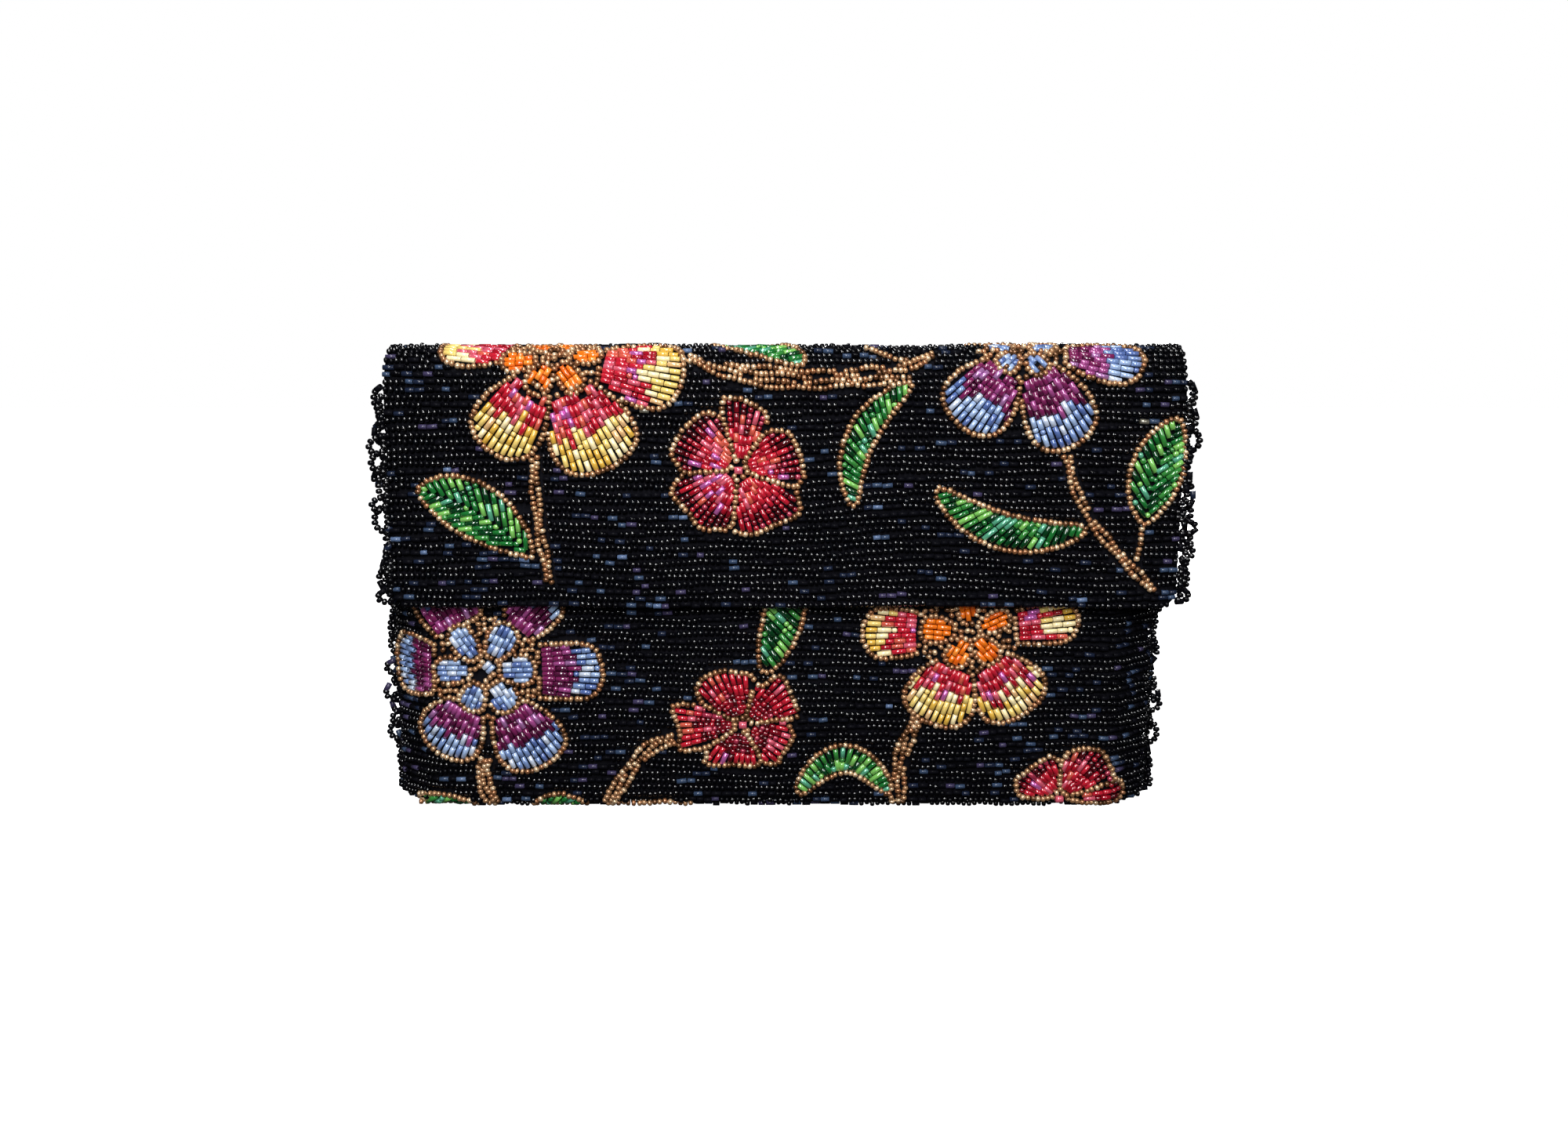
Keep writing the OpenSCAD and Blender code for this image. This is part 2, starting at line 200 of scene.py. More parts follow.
def cloth(s, u, depth=SEAT):
    """Points and outward normals of the cloth, at a depth below the smooth bead face."""
    s, u = np.broadcast_arrays(np.asarray(s, float), np.asarray(u, float))
    depth = np.broadcast_to(np.asarray(depth, float), s.shape)
    p = np.zeros(s.shape + (3,))
    n = np.zeros(s.shape + (3,))

    # Front panel and the corner under it follow the plan's outline.
    m = s < END["front_corner"]
    turn = np.clip((s[m] - START["front_corner"]) / (BASE_R - SEAT), 0, math.pi / 2)
    px, py = np.interp(u[m], PLAN_U, PLAN_X), np.interp(u[m], PLAN_U, PLAN_Y)
    nx, ny = np.interp(u[m], PLAN_U, PLAN_NX), np.interp(u[m], PLAN_U, PLAN_NY)
    in_by = depth[m] - SEAT + (BASE_R - depth[m]) * (1 - np.cos(turn))
    z = np.where(s[m] < END["front"], MOUTH_Z - s[m], BASE_R - (BASE_R - depth[m]) * np.sin(turn))
    belly = swell(px, z, 1.5, BACK_HALF) * snap_pull(px, z) + 0.2 * ripple(px * 2, z * 2, 1)
    below_flap = np.sin(math.pi * np.clip(z / FLAP_EDGE, 0, 1)) ** 1.5
    belly += 1.6 * below_flap * np.clip(1 - (px / BACK_HALF) ** 4, 0, 1)
    p[m] = np.stack([px + nx * (belly - in_by), py + ny * (belly - in_by), z], axis=1)
    n[m] = np.stack([nx * np.cos(turn), ny * np.cos(turn), -np.sin(turn)], axis=1)

    m = (s >= START["base"]) & (s < END["base"])
    y = FRONT_Y + BASE_R + s[m] - START["base"]
    p[m] = np.stack([u[m], y, depth[m] + 0 * y], axis=1)
    n[m] = (0, 0, -1)

    m = (s >= START["back_corner"]) & (s < END["back_corner"])
    turn = (s[m] - START["back_corner"]) / (BASE_R - SEAT)
    reach = BASE_R - depth[m]
    p[m] = np.stack([u[m], BACK_Y - BASE_R + reach * np.sin(turn), BASE_R - reach * np.cos(turn)], axis=1)
    n[m] = np.stack([0 * turn, np.sin(turn), -np.cos(turn)], axis=1)

    m = (s >= START["back"]) & (s < END["back"])
    z = BASE_R + s[m] - START["back"]
    belly = swell(u[m], z, 1.8, BACK_HALF) + 0.25 * ripple(u[m] * 1.7, z * 1.5, 2)
    p[m] = np.stack([u[m], BACK_Y - depth[m] + belly, z], axis=1)
    n[m] = (0, 1, 0)

    m = (s >= START["fold"]) & (s < END["fold"])
    turn = (s[m] - START["fold"]) / (FOLD_R - SEAT)
    reach = FOLD_R - depth[m] + 0.35 * ripple(u[m] * 1.2, 0 * u[m], 3)
    p[m] = np.stack([u[m], reach * np.cos(turn), FOLD_Z + reach * np.sin(turn)], axis=1)
    n[m] = np.stack([0 * turn, np.cos(turn), np.sin(turn)], axis=1)

    m = s >= START["flap"]
    z = FOLD_Z - (s[m] - START["flap"])
    belly = swell(u[m], z, 1.5, BACK_HALF) * snap_pull(u[m], z) + 0.2 * ripple(u[m] * 2, z * 2, 1)
    edge_wave = 0.5 * ripple(u[m] * 1.3, 0 * z, 5) * np.clip((FOLD_Z - z) / 40, 0, 1)
    p[m] = np.stack([u[m], FLAP_Y + depth[m] - belly, z + edge_wave], axis=1)
    n[m] = (0, -1, 0)
    over = s >= START["fold"]
    p[..., 0] += np.where(over, drift(FOLD_Z), drift(p[..., 2]))
    return p, n


def half_width(s):
    """How far the cloth reaches to each side, along u."""
    if s < END["front_corner"]:
        return PLAN_U[-1]
    if s < END["base"]:
        y = FRONT_Y + BASE_R + s - START["base"]
        share = min(1, (y - FRONT_Y) / (SEAM_Y - FRONT_Y))
        return FRONT_HALF + (BODY_HALF - FRONT_HALF) * share - 2
    if s < END["back"]:
        return np.interp(END["back"] - s, [0, 15], [FLAP_HALF, BODY_HALF - 0.5])
    low = CLOTH_END - s
    if low < FLAP_CORNER:
        return FLAP_HALF - FLAP_CORNER + math.sqrt(FLAP_CORNER**2 - (FLAP_CORNER - low) ** 2)
    return FLAP_HALF


def body_at(s):
    """The body that a point of the cloth rides on."""
    strip = np.clip((s - START["fold"]) / (END["fold"] - START["fold"]) * STRIPS, 0, STRIPS - 1)
    names = np.array(["fold_%d" % (i + 1) for i in range(STRIPS)])[strip.astype(int)]
    return np.where(s < START["fold"], "pouch", np.where(s >= START["flap"], "flap", names))


# ---------- the flat design ----------
# Places in the design are (x, z). "front" is drawn on the front panel and "flap" on the flap; z runs on
# along the cloth, below 0 under the base and above FOLD_Z over the fold and down the back.
def to_cloth(side, x, z):
    x, z = np.asarray(x, float), np.asarray(z, float)
    if side == "front":
        return MOUTH_Z - z, np.interp(x, PLAN_X, PLAN_U)
    return CLOTH_END - z, x


def from_cloth(side, s, u):
    if side == "front":
        return np.interp(u, PLAN_U, PLAN_X), MOUTH_Z - s
    return u, CLOTH_END - s


# A flower is (side, centre, colours, petals, ovals): colours are inner, outer and ovals', and a petal or
# oval is (direction in degrees, where it starts and ends from the centre, width). The petals of a red
# flower share their sides, so each is a list of its outer corners instead, as (direction, distance).
ORANGE = ("red", "yellow", "orange")
VIOLET = ("purple", "blue", "blue")
RED = ("red", "garnet", "red")
RED_OUT = ("garnet", "red", "red")
top_ovals = [(66, 4, 13, 7), (126, 4, 14, 7), (186, 6, 17, 8), (5, 5, 15, 7)]
FLOWERS = {
    "flap_orange_flower": ("flap", (-74, 82), ORANGE,
        [(-124, 11, 37, 23), (-65, 12, 40, 28), (-9, 15, 42, 24), (164, 15, 38, 23), (88, 14, 38, 26)],
        [(-120, 3, 14, 8), (-54, 3, 14, 7.5)] + top_ovals),
    "flap_violet_flower": ("flap", (76.3, 85), VIOLET,
        [(-129, 9, 32.5, 23.5), (-62, 9, 36, 22.5), (-7, 14, 39, 17), (60, 12, 36, 20), (128, 12, 34, 22)],
        [(-135, 2.5, 10.5, 7.5), (-52, 2.5, 11, 7), (20, 3, 12, 6.5), (85, 3, 12, 7), (155, 3, 12, 7)]),
    "flap_red_flower": ("flap", (-15, 45.5), RED,
        [[(-17, 19.5), (-4, 21.5), (17, 20.5), (38, 20.5), (56, 15.5)],
         [(56, 16), (63, 20.5), (85, 22.5), (102, 24), (107, 17.5)],
         [(107, 17.5), (120, 21.5), (140, 22), (165, 23), (184, 18)],
         [(184, 18.5), (198, 23.5), (217, 21.5), (238, 23), (264, 19.5)],
         [(264, 20), (281, 21.5), (314, 22.3), (326, 24.5), (343, 19.5)]], []),
    "front_violet_flower": ("front", (-96.5, 48.4), VIOLET,
        [(0, 18, 39.5, 19, 0.95), (-60, 15, 38, 24, 0.55), (-120, 14, 33.5, 22, 0.6), (178, 17, 33, 21, 0.8),
         (118, 17, 36, 23, 0.7), (52, 17, 36, 18, 0.6)],
        [(125, 5, 18, 9), (61, 5, 18, 10), (2, 5, 17, 10), (180, 5, 17, 9), (-115, 5, 15, 9),
         (-57, 5, 16, 10), (45, -4.5, 4.5, 5.5, 0.7)]),
    "front_red_flower": ("front", (-10.4, 30.1), RED_OUT,
        [[(8, 20), (20, 19), (51, 21.7), (58, 20), (62, 15), (74, 15)],
         [(74, 15.5), (83, 18), (111, 20), (128, 21), (141, 20.4), (153, 15)],
         [(153, 15), (162, 23.6), (168, 24.4), (186, 21.2), (204, 23.7), (214, 15)],
         [(214, 14), (227, 19.1), (240, 16.8), (262, 14.7), (286, 15.7), (296, 14.5)],
         [(296, 15.5), (310, 18.4), (322, 17), (345, 17.8), (360, 15.4), (368, 15)]], []),
    "front_orange_flower": ("front", (65.5, 61.5), ORANGE,
        [(180, 17, 36, 17, 0.8), (-114, 12, 33.5, 24, 0.5), (-56, 12, 33.5, 24, 0.5), (7, 15, 36, 14, 0.8),
         (120, 13, 34, 20)],
        [(175, 5.5, 17, 9), (-120, 2.5, 13, 8), (-48, 2.5, 13, 8), (25, 3, 14, 7), (100, 3, 12, 7)]),
    "front_corner_flower": ("front", (97.4, 3.2), RED,
        [[(18, 19.6), (24, 20), (37, 20.6), (52, 22), (64, 20.2), (82, 17.4), (91, 12.5)],
         [(91, 13), (97, 14.8), (106, 16), (117, 15.4), (157, 17.1), (178, 13.7)],
         [(-10, 20), (-4, 22), (4, 23.2), (16, 21.9), (18, 19.6)]], []),
    "back_orange_flower": ("flap", (52, 172), ORANGE,
        [(-124, 12, 36, 23), (-55, 12, 37, 25), (14, 12, 36, 22), (84, 12, 36, 24), (160, 12, 37, 23)],
        [(-120, 3, 12, 7), (-48, 3, 12, 7), (24, 3, 12, 7), (96, 3, 12, 7), (168, 3, 12, 7)]),
    "back_violet_flower": ("flap", (-68, 188), VIOLET,
        [(-130, 12, 34, 22), (-65, 12, 35, 23), (0, 12, 34, 20), (62, 12, 35, 22), (125, 12, 34, 20),
         (180, 12, 33, 18)],
        [(-130, 3, 12, 6.5), (-65, 3, 12, 6.5), (0, 3, 12, 6.5), (62, 3, 12, 6.5), (125, 3, 12, 6.5),
         (180, 3, 12, 6)]),
    "back_red_flower": ("flap", (-8, 140), RED,
        [[(a, 16.5), (a + 12, 21), (a + 36, 23), (a + 60, 21), (a + 72, 16.5)] for a in range(18, 378, 72)],
        []),
}
# A leaf is (side, start, bend, end, width, way its rows lie): "veined" rows meet on a midrib.
LEAVES = {
    "flap_leaves": [
        ("flap", (-119, 39), (-100, 36.5), (-82.5, 17), 18, "veined"),
        ("flap", (40.5, 73), (17, 58), (22.5, 33.5), 9.5, "slanted"),
        ("flap", (49, 39), (70.5, 17.5), (98, 26.5), 11.5, "slanted"),
        ("flap", (126.3, 62), (118, 44), (117, 28), 17, "veined"),
        ("flap", (-24, 93), (-6, 91.5), (6, 79.5), 12, "slanted"),
    ],
    "front_leaves": [
        ("front", (6, 90), (4.5, 64), (-3.4, 48.4), 13, "slanted"),
        ("front", (8.5, 5.3), (23.5, 30.2), (39.5, 5.3), 10, "straight"),
        ("front", (-124, 0.5), (-113, 2.5), (-101, -1), 7, "slanted"),
        ("front", (-82, 0), (-73, 4.5), (-64, -0.5), 6, "slanted"),
    ],
    "back_leaves": [
        ("flap", (-100, 138), (-84, 152), (-58, 146), 13, "veined"),
        ("flap", (-20, 178), (0, 196), (22, 222), 12, "slanted"),
        ("flap", (92, 148), (108, 170), (106, 196), 15, "veined"),
        ("flap", (84, 214), (62, 226), (38, 218), 11, "slanted"),
    ],
}
# A stem is (side, number of strands, places that it passes).
STEMS = {
    "flap_stems": [
        ("flap", 2, [(-81, 50.5), (-80.5, 30.5), (-77, 8)]),
        ("flap", 2, [(90.5, 50.5), (96.5, 31), (121, 6)]),
        ("flap", 1, [(116, 27), (115.5, 22.5), (115.3, 14)]),
        ("flap", 2, [(-32, 82.3), (-17, 75), (-2, 72.5), (8, 72.5), (40, 74.5)]),
        ("flap", 2, [(-20, 78.5), (-2, 77), (10, 75.5), (20, 76.5), (40, 78), (48, 84)]),
        ("flap", 1, [(26, 87.5), (33, 82.3), (41, 80.5), (48, 85)]),
    ],
    "front_stems": [
        ("front", 3, [(-31.7, 25.6), (-43.8, 22), (-57, 0.8)]),
        ("front", 3, [(-97.5, 18), (-99.5, 11), (-95.5, 0.5)]),
        ("front", 3, [(48.3, 32.2), (42.5, 20), (42.2, 0.8)]),
        ("front", 1, [(-57, 0.8), (-42, 2), (-27, 0.8)]),
    ],
    "back_stems": [
        ("flap", 2, [(-54, 158), (-38, 148), (-32, 142)]),
        ("flap", 2, [(38, 206), (28, 222), (6, 240)]),
        ("flap", 2, [(-66, 224), (-72, 236), (-64, 246)]),
    ],
}


def bell(t, peak, fullness):
    """Half a width of 1 along a petal or leaf, widest at the share peak of its length."""
    return 0.5 * np.sin(math.pi * t ** (math.log(0.5) / math.log(peak))) ** fullness


def petal_outline(centre, petal, grow=0.0, steps=26):
    """A wedge with a round end. A fifth number is how wide its base is, as a share of its width."""
    direction, start, end, width, base = (*petal, 0.5)[:5]
    peak = 0.62 if base > 0.3 else 0.72
    t = (1 - np.cos(np.linspace(0, math.pi, steps))) / 2
    along = start - grow + t * (end - start + 2 * grow)
    open_out = base + (1 - base) * np.sin(math.pi / 2 * np.clip(t / peak, 0, 1))
    close_in = np.sqrt(np.clip(1 - np.clip((t - peak) / (1 - peak), 0, 1) ** 2.6, 0, 1))
    across = open_out * close_in * (width / 2 + grow)
    a = math.radians(direction)
    r = np.concatenate([along, along[::-1][1:]])
    w = np.concatenate([across, -across[::-1][1:]])
    return np.stack([centre[0] + r * math.cos(a) - w * math.sin(a),
                     centre[1] + r * math.sin(a) + w * math.cos(a)], axis=1)


def wedge_outline(centre, corners, grow=0.0):
    """A petal between two lines from the flower's centre."""
    polar = np.array([(corners[0][0], 3.0), *corners, (corners[-1][0], 3.0)])
    a = np.radians(polar[:, 0])
    places = np.stack([polar[:, 1] * np.cos(a), polar[:, 1] * np.sin(a)], axis=1)
    ahead = np.roll(places, -1, axis=0)
    outline = np.stack([0.85 * places + 0.15 * ahead, 0.15 * places + 0.85 * ahead], 1).reshape(-1, 2)
    away = unit(outline - outline.mean(axis=0))
    return np.array(centre) + outline + away * grow


def outline_of(centre, petal, grow=0.0):
    make = wedge_outline if isinstance(petal, list) else petal_outline
    return make(centre, petal, grow)


def curve(start, bend, end, t):
    a, b, c = (np.array(q, float) for q in (start, bend, end))
    t = np.asarray(t, float)[:, None]
    place = (1 - t) ** 2 * a + 2 * t * (1 - t) * b + t * t * c
    way = (1 - t) * (b - a) + t * (c - b)
    return place, unit(way)


FULLNESS = {"veined": 0.68, "slanted": 0.52, "straight": 0.42}  # small is blunt-ended


def leaf_outline(leaf, grow=0.0, steps=30):
    _, start, bend, end, width, rows = leaf
    t = (1 - np.cos(np.linspace(0, math.pi, steps))) / 2
    place, way = curve(start, bend, end, t)
    side = np.stack([-way[:, 1], way[:, 0]], axis=1)
    across = (bell(np.clip(t, 1e-6, 1 - 1e-6), 0.48, FULLNESS[rows]) * (width + 2 * grow))[:, None]
    place[0] -= way[0] * grow
    place[-1] += way[-1] * grow
    return np.concatenate([place + side * across, (place - side * across)[::-1][1:-1]])


def inside(poly, x, z):
    """Which of the points (x, z) lie inside the outline."""
    hit = np.zeros(x.shape, bool)
    near = ((x > poly[:, 0].min()) & (x < poly[:, 0].max())
            & (z > poly[:, 1].min()) & (z < poly[:, 1].max()))
    if not near.any():
        return hit
    px, pz = x[near], z[near]
    inner = np.zeros(px.shape, bool)
    for (x1, z1), (x2, z2) in zip(poly, np.roll(poly, -1, axis=0)):
        crosses = (z1 > pz) != (z2 > pz)
        inner ^= crosses & (px < (x2 - x1) * (pz - z1) / (z2 - z1 + 1e-12) + x1)
    hit[near] = inner
    return hit


# ---------- bead store ----------
# A bead waiting to be built: its centre (s, u) on the cloth, the way of its thread (ds, du), its size, its
# template and shade, and how far it stands proud of its neighbours.
Bead = namedtuple("Bead", "piece s u ds du length radius kind shade rise")
store = []
taken = {"front": [], "flap": []}  # places of the outline beads, in the design
blocked = {"front": [], "flap": []}  # outlines that the ground keeps out of
snap_ring = np.linspace(0, 2 * math.pi, 24, endpoint=False)
snap_room = (socket_high[0] - socket_low[0]) / 2 + 0.7
blocked["front"].append(np.stack([snap_room * np.cos(snap_ring), SNAP_Z + snap_room * np.sin(snap_ring)], 1))

SEED_L, SEED_R = 1.52, 0.98  # length and radius of one seed bead
SEED_PITCH = 1.80  # along its thread
GOLD_PITCH = 1.74
GOLD_R = 1.04
BUGLE_R = 0.86
PETAL_R = 0.90  # the thinner bugles that fill the flowers and leaves
PETAL_ROW = 1.95
ROUND_SHARE = {"garnet": 0.9, "green": 0.3}  # share of seed beads among a family's bugles
FILL_GAP = 1.15  # a filling bead this near an outline bead is left out
HEART_GAP = 1.55  # and so is a gold bead in a flower's heart
HEART_PITCH = 1.75


def pick(*choices):
    """One of the (name, weight) pairs."""
    names, weights = zip(*choices)
    w = np.array(weights, float)
    return names[rng.choice(len(names), p=w / w.sum())]


SHADES = {
    "gold": [("gold_bronze", 5), ("gold_light", 2), ("gold_dark", 2), ("gold_copper", 2)],
    "orange": [("orange_mid", 5), ("orange_deep", 2), ("orange_light", 2)],
    "red": [("red_mid", 5), ("red_deep", 3), ("red_pink", 2.5), ("red_coral", 2), ("red_lustre", 1)],
    "garnet": [("garnet_mid", 4), ("garnet_deep", 3), ("red_deep", 2), ("garnet_lustre", 1)],
    "yellow": [("yellow_mid", 4), ("yellow_pale", 3), ("yellow_deep", 2), ("yellow_peach", 1.5)],
    "purple": [("purple_mid", 4), ("purple_deep", 3), ("purple_light", 2), ("purple_lustre", 1)],
    "blue": [("blue_mid", 4), ("blue_light", 4), ("blue_deep", 2), ("blue_ice", 1.5)],
    "green": [("green_mid", 4), ("green_lime", 3), ("green_deep", 3), ("green_aqua", 1.5),
              ("green_leaf", 2)],
    "black_seed": [("black_jet", 5.5), ("black_soft", 3.5), ("black_blue", 1)],
    "black_bugle": [("black_dull", 6), ("black_soft", 2), ("navy_deep", 2.2), ("navy_violet", 1),
                    ("navy_mid", 1.3), ("navy_light", 0.2), ("silver_lined", 0.05)],
}


def shade_of(family):
    return pick(*SHADES[family])


def bead_on_design(piece, side, x, z, way, length, radius, kind, shade, rise=0.0):
    """One bead centred on (x, z) of the design, its thread along the direction way."""
    half = length / 2
    s, u = to_cloth(side, [x - way[0] * half, x + way[0] * half], [z - way[1] * half, z + way[1] * half])
    store.append(Bead(piece, (s[0] + s[1]) / 2, (u[0] + u[1]) / 2, s[1] - s[0], u[1] - u[0], length, radius,
                      kind, shade, rise))


def too_close(side, spot, gap):
    """True if an outline bead of the design lies nearer to the spot than the gap."""
    near = np.array(taken[side])
    return len(near) > 0 and np.min(np.linalg.norm(near - spot, axis=1)) < gap


def strand(piece, side, line, closed, family, keep_off=1.4, lead=0.5):
    """A string of seed beads along a line of the design, the first one lead pitches from its start."""
    if closed:
        line = np.concatenate([line, line[:1]])
    along = lengths_along(line)
    count = max(2, int(round(along[-1] / GOLD_PITCH)))
    at = (np.arange(count) + lead) * along[-1] / count
    x, z = np.interp(at, along, line[:, 0]), np.interp(at, along, line[:, 1])
    ahead = np.stack([np.interp(at + 0.4, along, line[:, 0]) - np.interp(at - 0.4, along, line[:, 0]),
                      np.interp(at + 0.4, along, line[:, 1]) - np.interp(at - 0.4, along, line[:, 1])], 1)
    ahead = unit(ahead, 1e-9)
    for i in range(count):
        spot = np.array([x[i], z[i]])
        if too_close(side, spot, keep_off):
            continue
        taken[side].append(spot)
        turn = rng.normal(0, 0.22)
        way = (ahead[i][0] - turn * ahead[i][1], ahead[i][1] + turn * ahead[i][0])
        bead_on_design(piece, side, *(spot + rng.normal(0, 0.12, 2)), way, SEED_L + rng.normal(0, 0.08),
                       GOLD_R + rng.normal(0, 0.05), "seed", shade_of(family), 0.3 + rng.normal(0, 0.12))


def fill_line(piece, side, origin, way, reach, poly, family_at, bugle=3.7):
    """Beads on one straight thread, wherever it lies inside the outline."""
    step = 0.2
    t = np.arange(0, reach, step)
    ok = inside(poly, origin[0] + way[0] * t, origin[1] + way[1] * t)
    for a, b in runs_of(ok):
        room = (b - a) * step
        if room < 1.2:
            continue
        sizes, families = [], []
        while sum(sizes) < room:
            family = family_at(a * step + sum(sizes) + 1)
            is_round = rng.random() < ROUND_SHARE.get(family, 0.04)
            sizes.append(SEED_PITCH if is_round else rng.uniform(bugle - 0.8, bugle + 0.9))
            families.append(family)
        if len(sizes) > 1 and sum(sizes) - room > sizes[-1] / 2:
            sizes.pop()
        squeeze = room / sum(sizes)
        at = a * step
        for size, family in zip(sizes, families):
            size *= squeeze
            spot = np.array(origin) + np.array(way) * (at + size / 2)
            at += size
            if too_close(side, spot, FILL_GAP):
                continue
            kind = "seed" if size < 2.1 else "bugle"
            bead_on_design(piece, side, *spot, way, size - 0.16, PETAL_R + rng.normal(0, 0.04), kind,
                           shade_of(family), rng.normal(0, 0.1))


def fill_petal(piece, side, centre, petal, inner, outer):
    """Rows that fan out from a little behind the flower's centre."""
    if isinstance(petal, list):
        direction, start = (petal[0][0] + petal[-1][0]) / 2, 3.0
        end = max(distance for _, distance in petal)
        behind = 0.3 * end
    else:
        direction, start, end = petal[:3]
        behind = 0.7 * end
    poly = outline_of(centre, petal, grow=-1.0)
    a = math.radians(direction)
    origin = np.array(centre) - behind * np.array([math.cos(a), math.sin(a)])
    step = PETAL_ROW / (behind + start + 0.6 * (end - start))
    count = int(math.ceil(math.radians(60) / step))
    ragged = 0.06 if inner == "purple" else 0.16
    for k in range(-count, count + 1):
        b = a + (k + 0.5) * step
        change = behind + start + (end - start) * (0.52 + ragged * rng.uniform(-1, 1))
        fill_line(piece, side, origin, (math.cos(b), math.sin(b)), behind + end + 2, poly,
                  lambda at: inner if at < change else outer)


def fill_oval(piece, side, centre, petal, family):
    direction, start, end, width = petal[:4]
    poly = petal_outline(centre, petal, grow=-0.9)
    a = math.radians(direction)
    axis, across = np.array([math.cos(a), math.sin(a)]), np.array([-math.sin(a), math.cos(a)])
    rows = max(2, int(round((width - 1.6) / 1.8)))
    for k in range(rows):
        off = (k - (rows - 1) / 2) * 1.8
        fill_line(piece, side, np.array(centre) + off * across, axis, end + 1, poly, lambda at: family,
                  bugle=3.6)


def fill_heart(piece, side, centre, reach):
    """Gold beads crowded into what is left round a flower's eye."""
    outlines = blocked[side]
    for x in np.arange(-reach, reach + 1, HEART_PITCH):
        for z in np.arange(-reach, reach + 1, HEART_PITCH):
            spot = np.array(centre) + (x, z) + rng.normal(0, 0.15, 2)
            if math.hypot(x, z) > reach:
                continue
            point = spot[:1], spot[1:]
            if any(inside(poly, *point)[0] for poly in outlines[-14:]):
                continue
            if too_close(side, spot, HEART_GAP):
                continue
            taken[side].append(spot)
            turn = rng.uniform(0, math.pi)
            bead_on_design(piece, side, *spot, (math.cos(turn), math.sin(turn)), SEED_L, GOLD_R, "seed",
                           shade_of("gold"), 0.15)


LEAN = {"veined": 42, "slanted": 58, "straight": 84}  # degrees between a leaf's rows and its length


def fill_leaf(piece, leaf):
    """Rows across a leaf. Those of a veined leaf start at its midrib and lie to both sides of it."""
    side, start, bend, end, width, rows = leaf
    veined = rows == "veined"
    poly = leaf_outline(leaf, grow=-0.9)
    place, way = curve(start, bend, end, np.linspace(0.01, 0.99, 200))
    along = lengths_along(place)
    pitch = PETAL_ROW / math.sin(math.radians(LEAN[rows]))
    reach = width * 1.2
    for at in np.arange(-width, along[-1] + width, pitch):
        i = int(np.clip(np.searchsorted(along, at), 0, len(place) - 1))
        foot = place[i] + way[i] * (at - along[i])
        w = -way[i] if veined else way[i]
        for hand in (1, -1) if veined else (1,):
            a = math.radians(LEAN[rows] * hand)
            line = np.array([w[0] * math.cos(a) - w[1] * math.sin(a),
                             w[0] * math.sin(a) + w[1] * math.cos(a)])
            origin = foot if veined else foot - line * reach
            fill_line(piece, side, origin, line, reach if veined else 2 * reach, poly,
                      lambda at: "green", bugle=4.3)


def draw_flower(name):
    side, centre, (inner, outer, oval), petals, ovals = FLOWERS[name]
    for petal in ovals + petals:
        strand(name, side, outline_of(centre, petal), True, "gold")
        blocked[side].append(outline_of(centre, petal, grow=-0.6))
    if isinstance(petals[0], list):
        eye = 3.5
        bead_on_design(name, side, *centre, (1, 0), 2.6, 1.3, "bugle", "red_pink", 0.4)
    else:
        heart = min(petal[1] for petal in petals) + 5
        eye = heart - 2
        fill_heart(name, side, centre, heart)
    around = np.linspace(0, 2 * math.pi, 30, endpoint=False)
    blocked[side].append(np.stack([centre[0] + eye * np.cos(around), centre[1] + eye * np.sin(around)], 1))
    for petal in petals:
        blocked[side].append(outline_of(centre, petal, grow=1.0))
        fill_petal(name, side, centre, petal, inner, outer)
    for petal in ovals:
        fill_oval(name, side, centre, petal, oval)


def draw_leaves(name):
    for leaf in LEAVES[name]:
        strand(name, leaf[0], leaf_outline(leaf), True, "gold")
        blocked[leaf[0]].append(leaf_outline(leaf, grow=1.1))
    for leaf in LEAVES[name]:
        fill_leaf(name, leaf)


def smooth_line(places):
    """A line past the places, with its corners cut three times."""
    line = np.array(places, float)
    for _ in range(3):
        cut = np.concatenate([0.75 * line[:-1] + 0.25 * line[1:], 0.25 * line[:-1] + 0.75 * line[1:]], 1)
        line = np.concatenate([line[:1], cut.reshape(-1, 2), line[-1:]])
    return line


def draw_stems(name):
    """Each stem is one to three strands side by side, their beads set in slanted rows."""
    for side, strands, places in STEMS[name]:
        place = smooth_line(places)
        way = unit(np.gradient(place, axis=0))
        across = np.stack([-way[:, 1], way[:, 0]], axis=1)
        along = lengths_along(place)
        for k in range(strands):
            off = (k - (strands - 1) / 2) * 1.8 + 0.4 * np.sin(along / 2.6 + 2 * k)
            strand(name, side, place + across * off[:, None], False, "gold", 1.3, 0.25 + 0.45 * (k % 2))
        wide = strands * 0.9 + 0.5
        blocked[side].append(np.concatenate([place + across * wide, (place - across * wide)[::-1]]))


# ---------- ground rows ----------
ROW = 2.42  # from one row of the ground to the next
STEP = 0.2  # how finely a row is searched for room
SEED_SHARE = 0.62  # share of a row's runs that are of seed beads
SEED_RUN, BUGLE_RUN = (2, 8), (1, 4)  # fewest beads in a run, and one more than the most
BUGLE_L = (2.4, 3.7)  # shortest and longest bugle, with its gap
BUGLE_GAP = 0.2
LEAST_SQUEEZE = 0.8  # a stretch that would squeeze its beads more is left empty
OFF_ROW, OFF_WAY = 0.13, 0.16  # how far beads stray from their row, and their ends from its way


def free_runs(s, u):
    """Stretches of a row that no motif covers."""
    free = np.ones(u.shape, bool)
    side = "front" if s < START["back_corner"] else "flap"
    x, z = from_cloth(side, s, u)
    z = np.broadcast_to(z, x.shape)
    for poly in blocked[side]:
        free &= ~inside(poly, x, z)
    return runs_of(free)


def row_wave(s, u):
    return 1.0 * ripple(u * 1.0, s * 0.9, 4) + 0.26 * np.sin(u / 6.1 + s * 1.7)


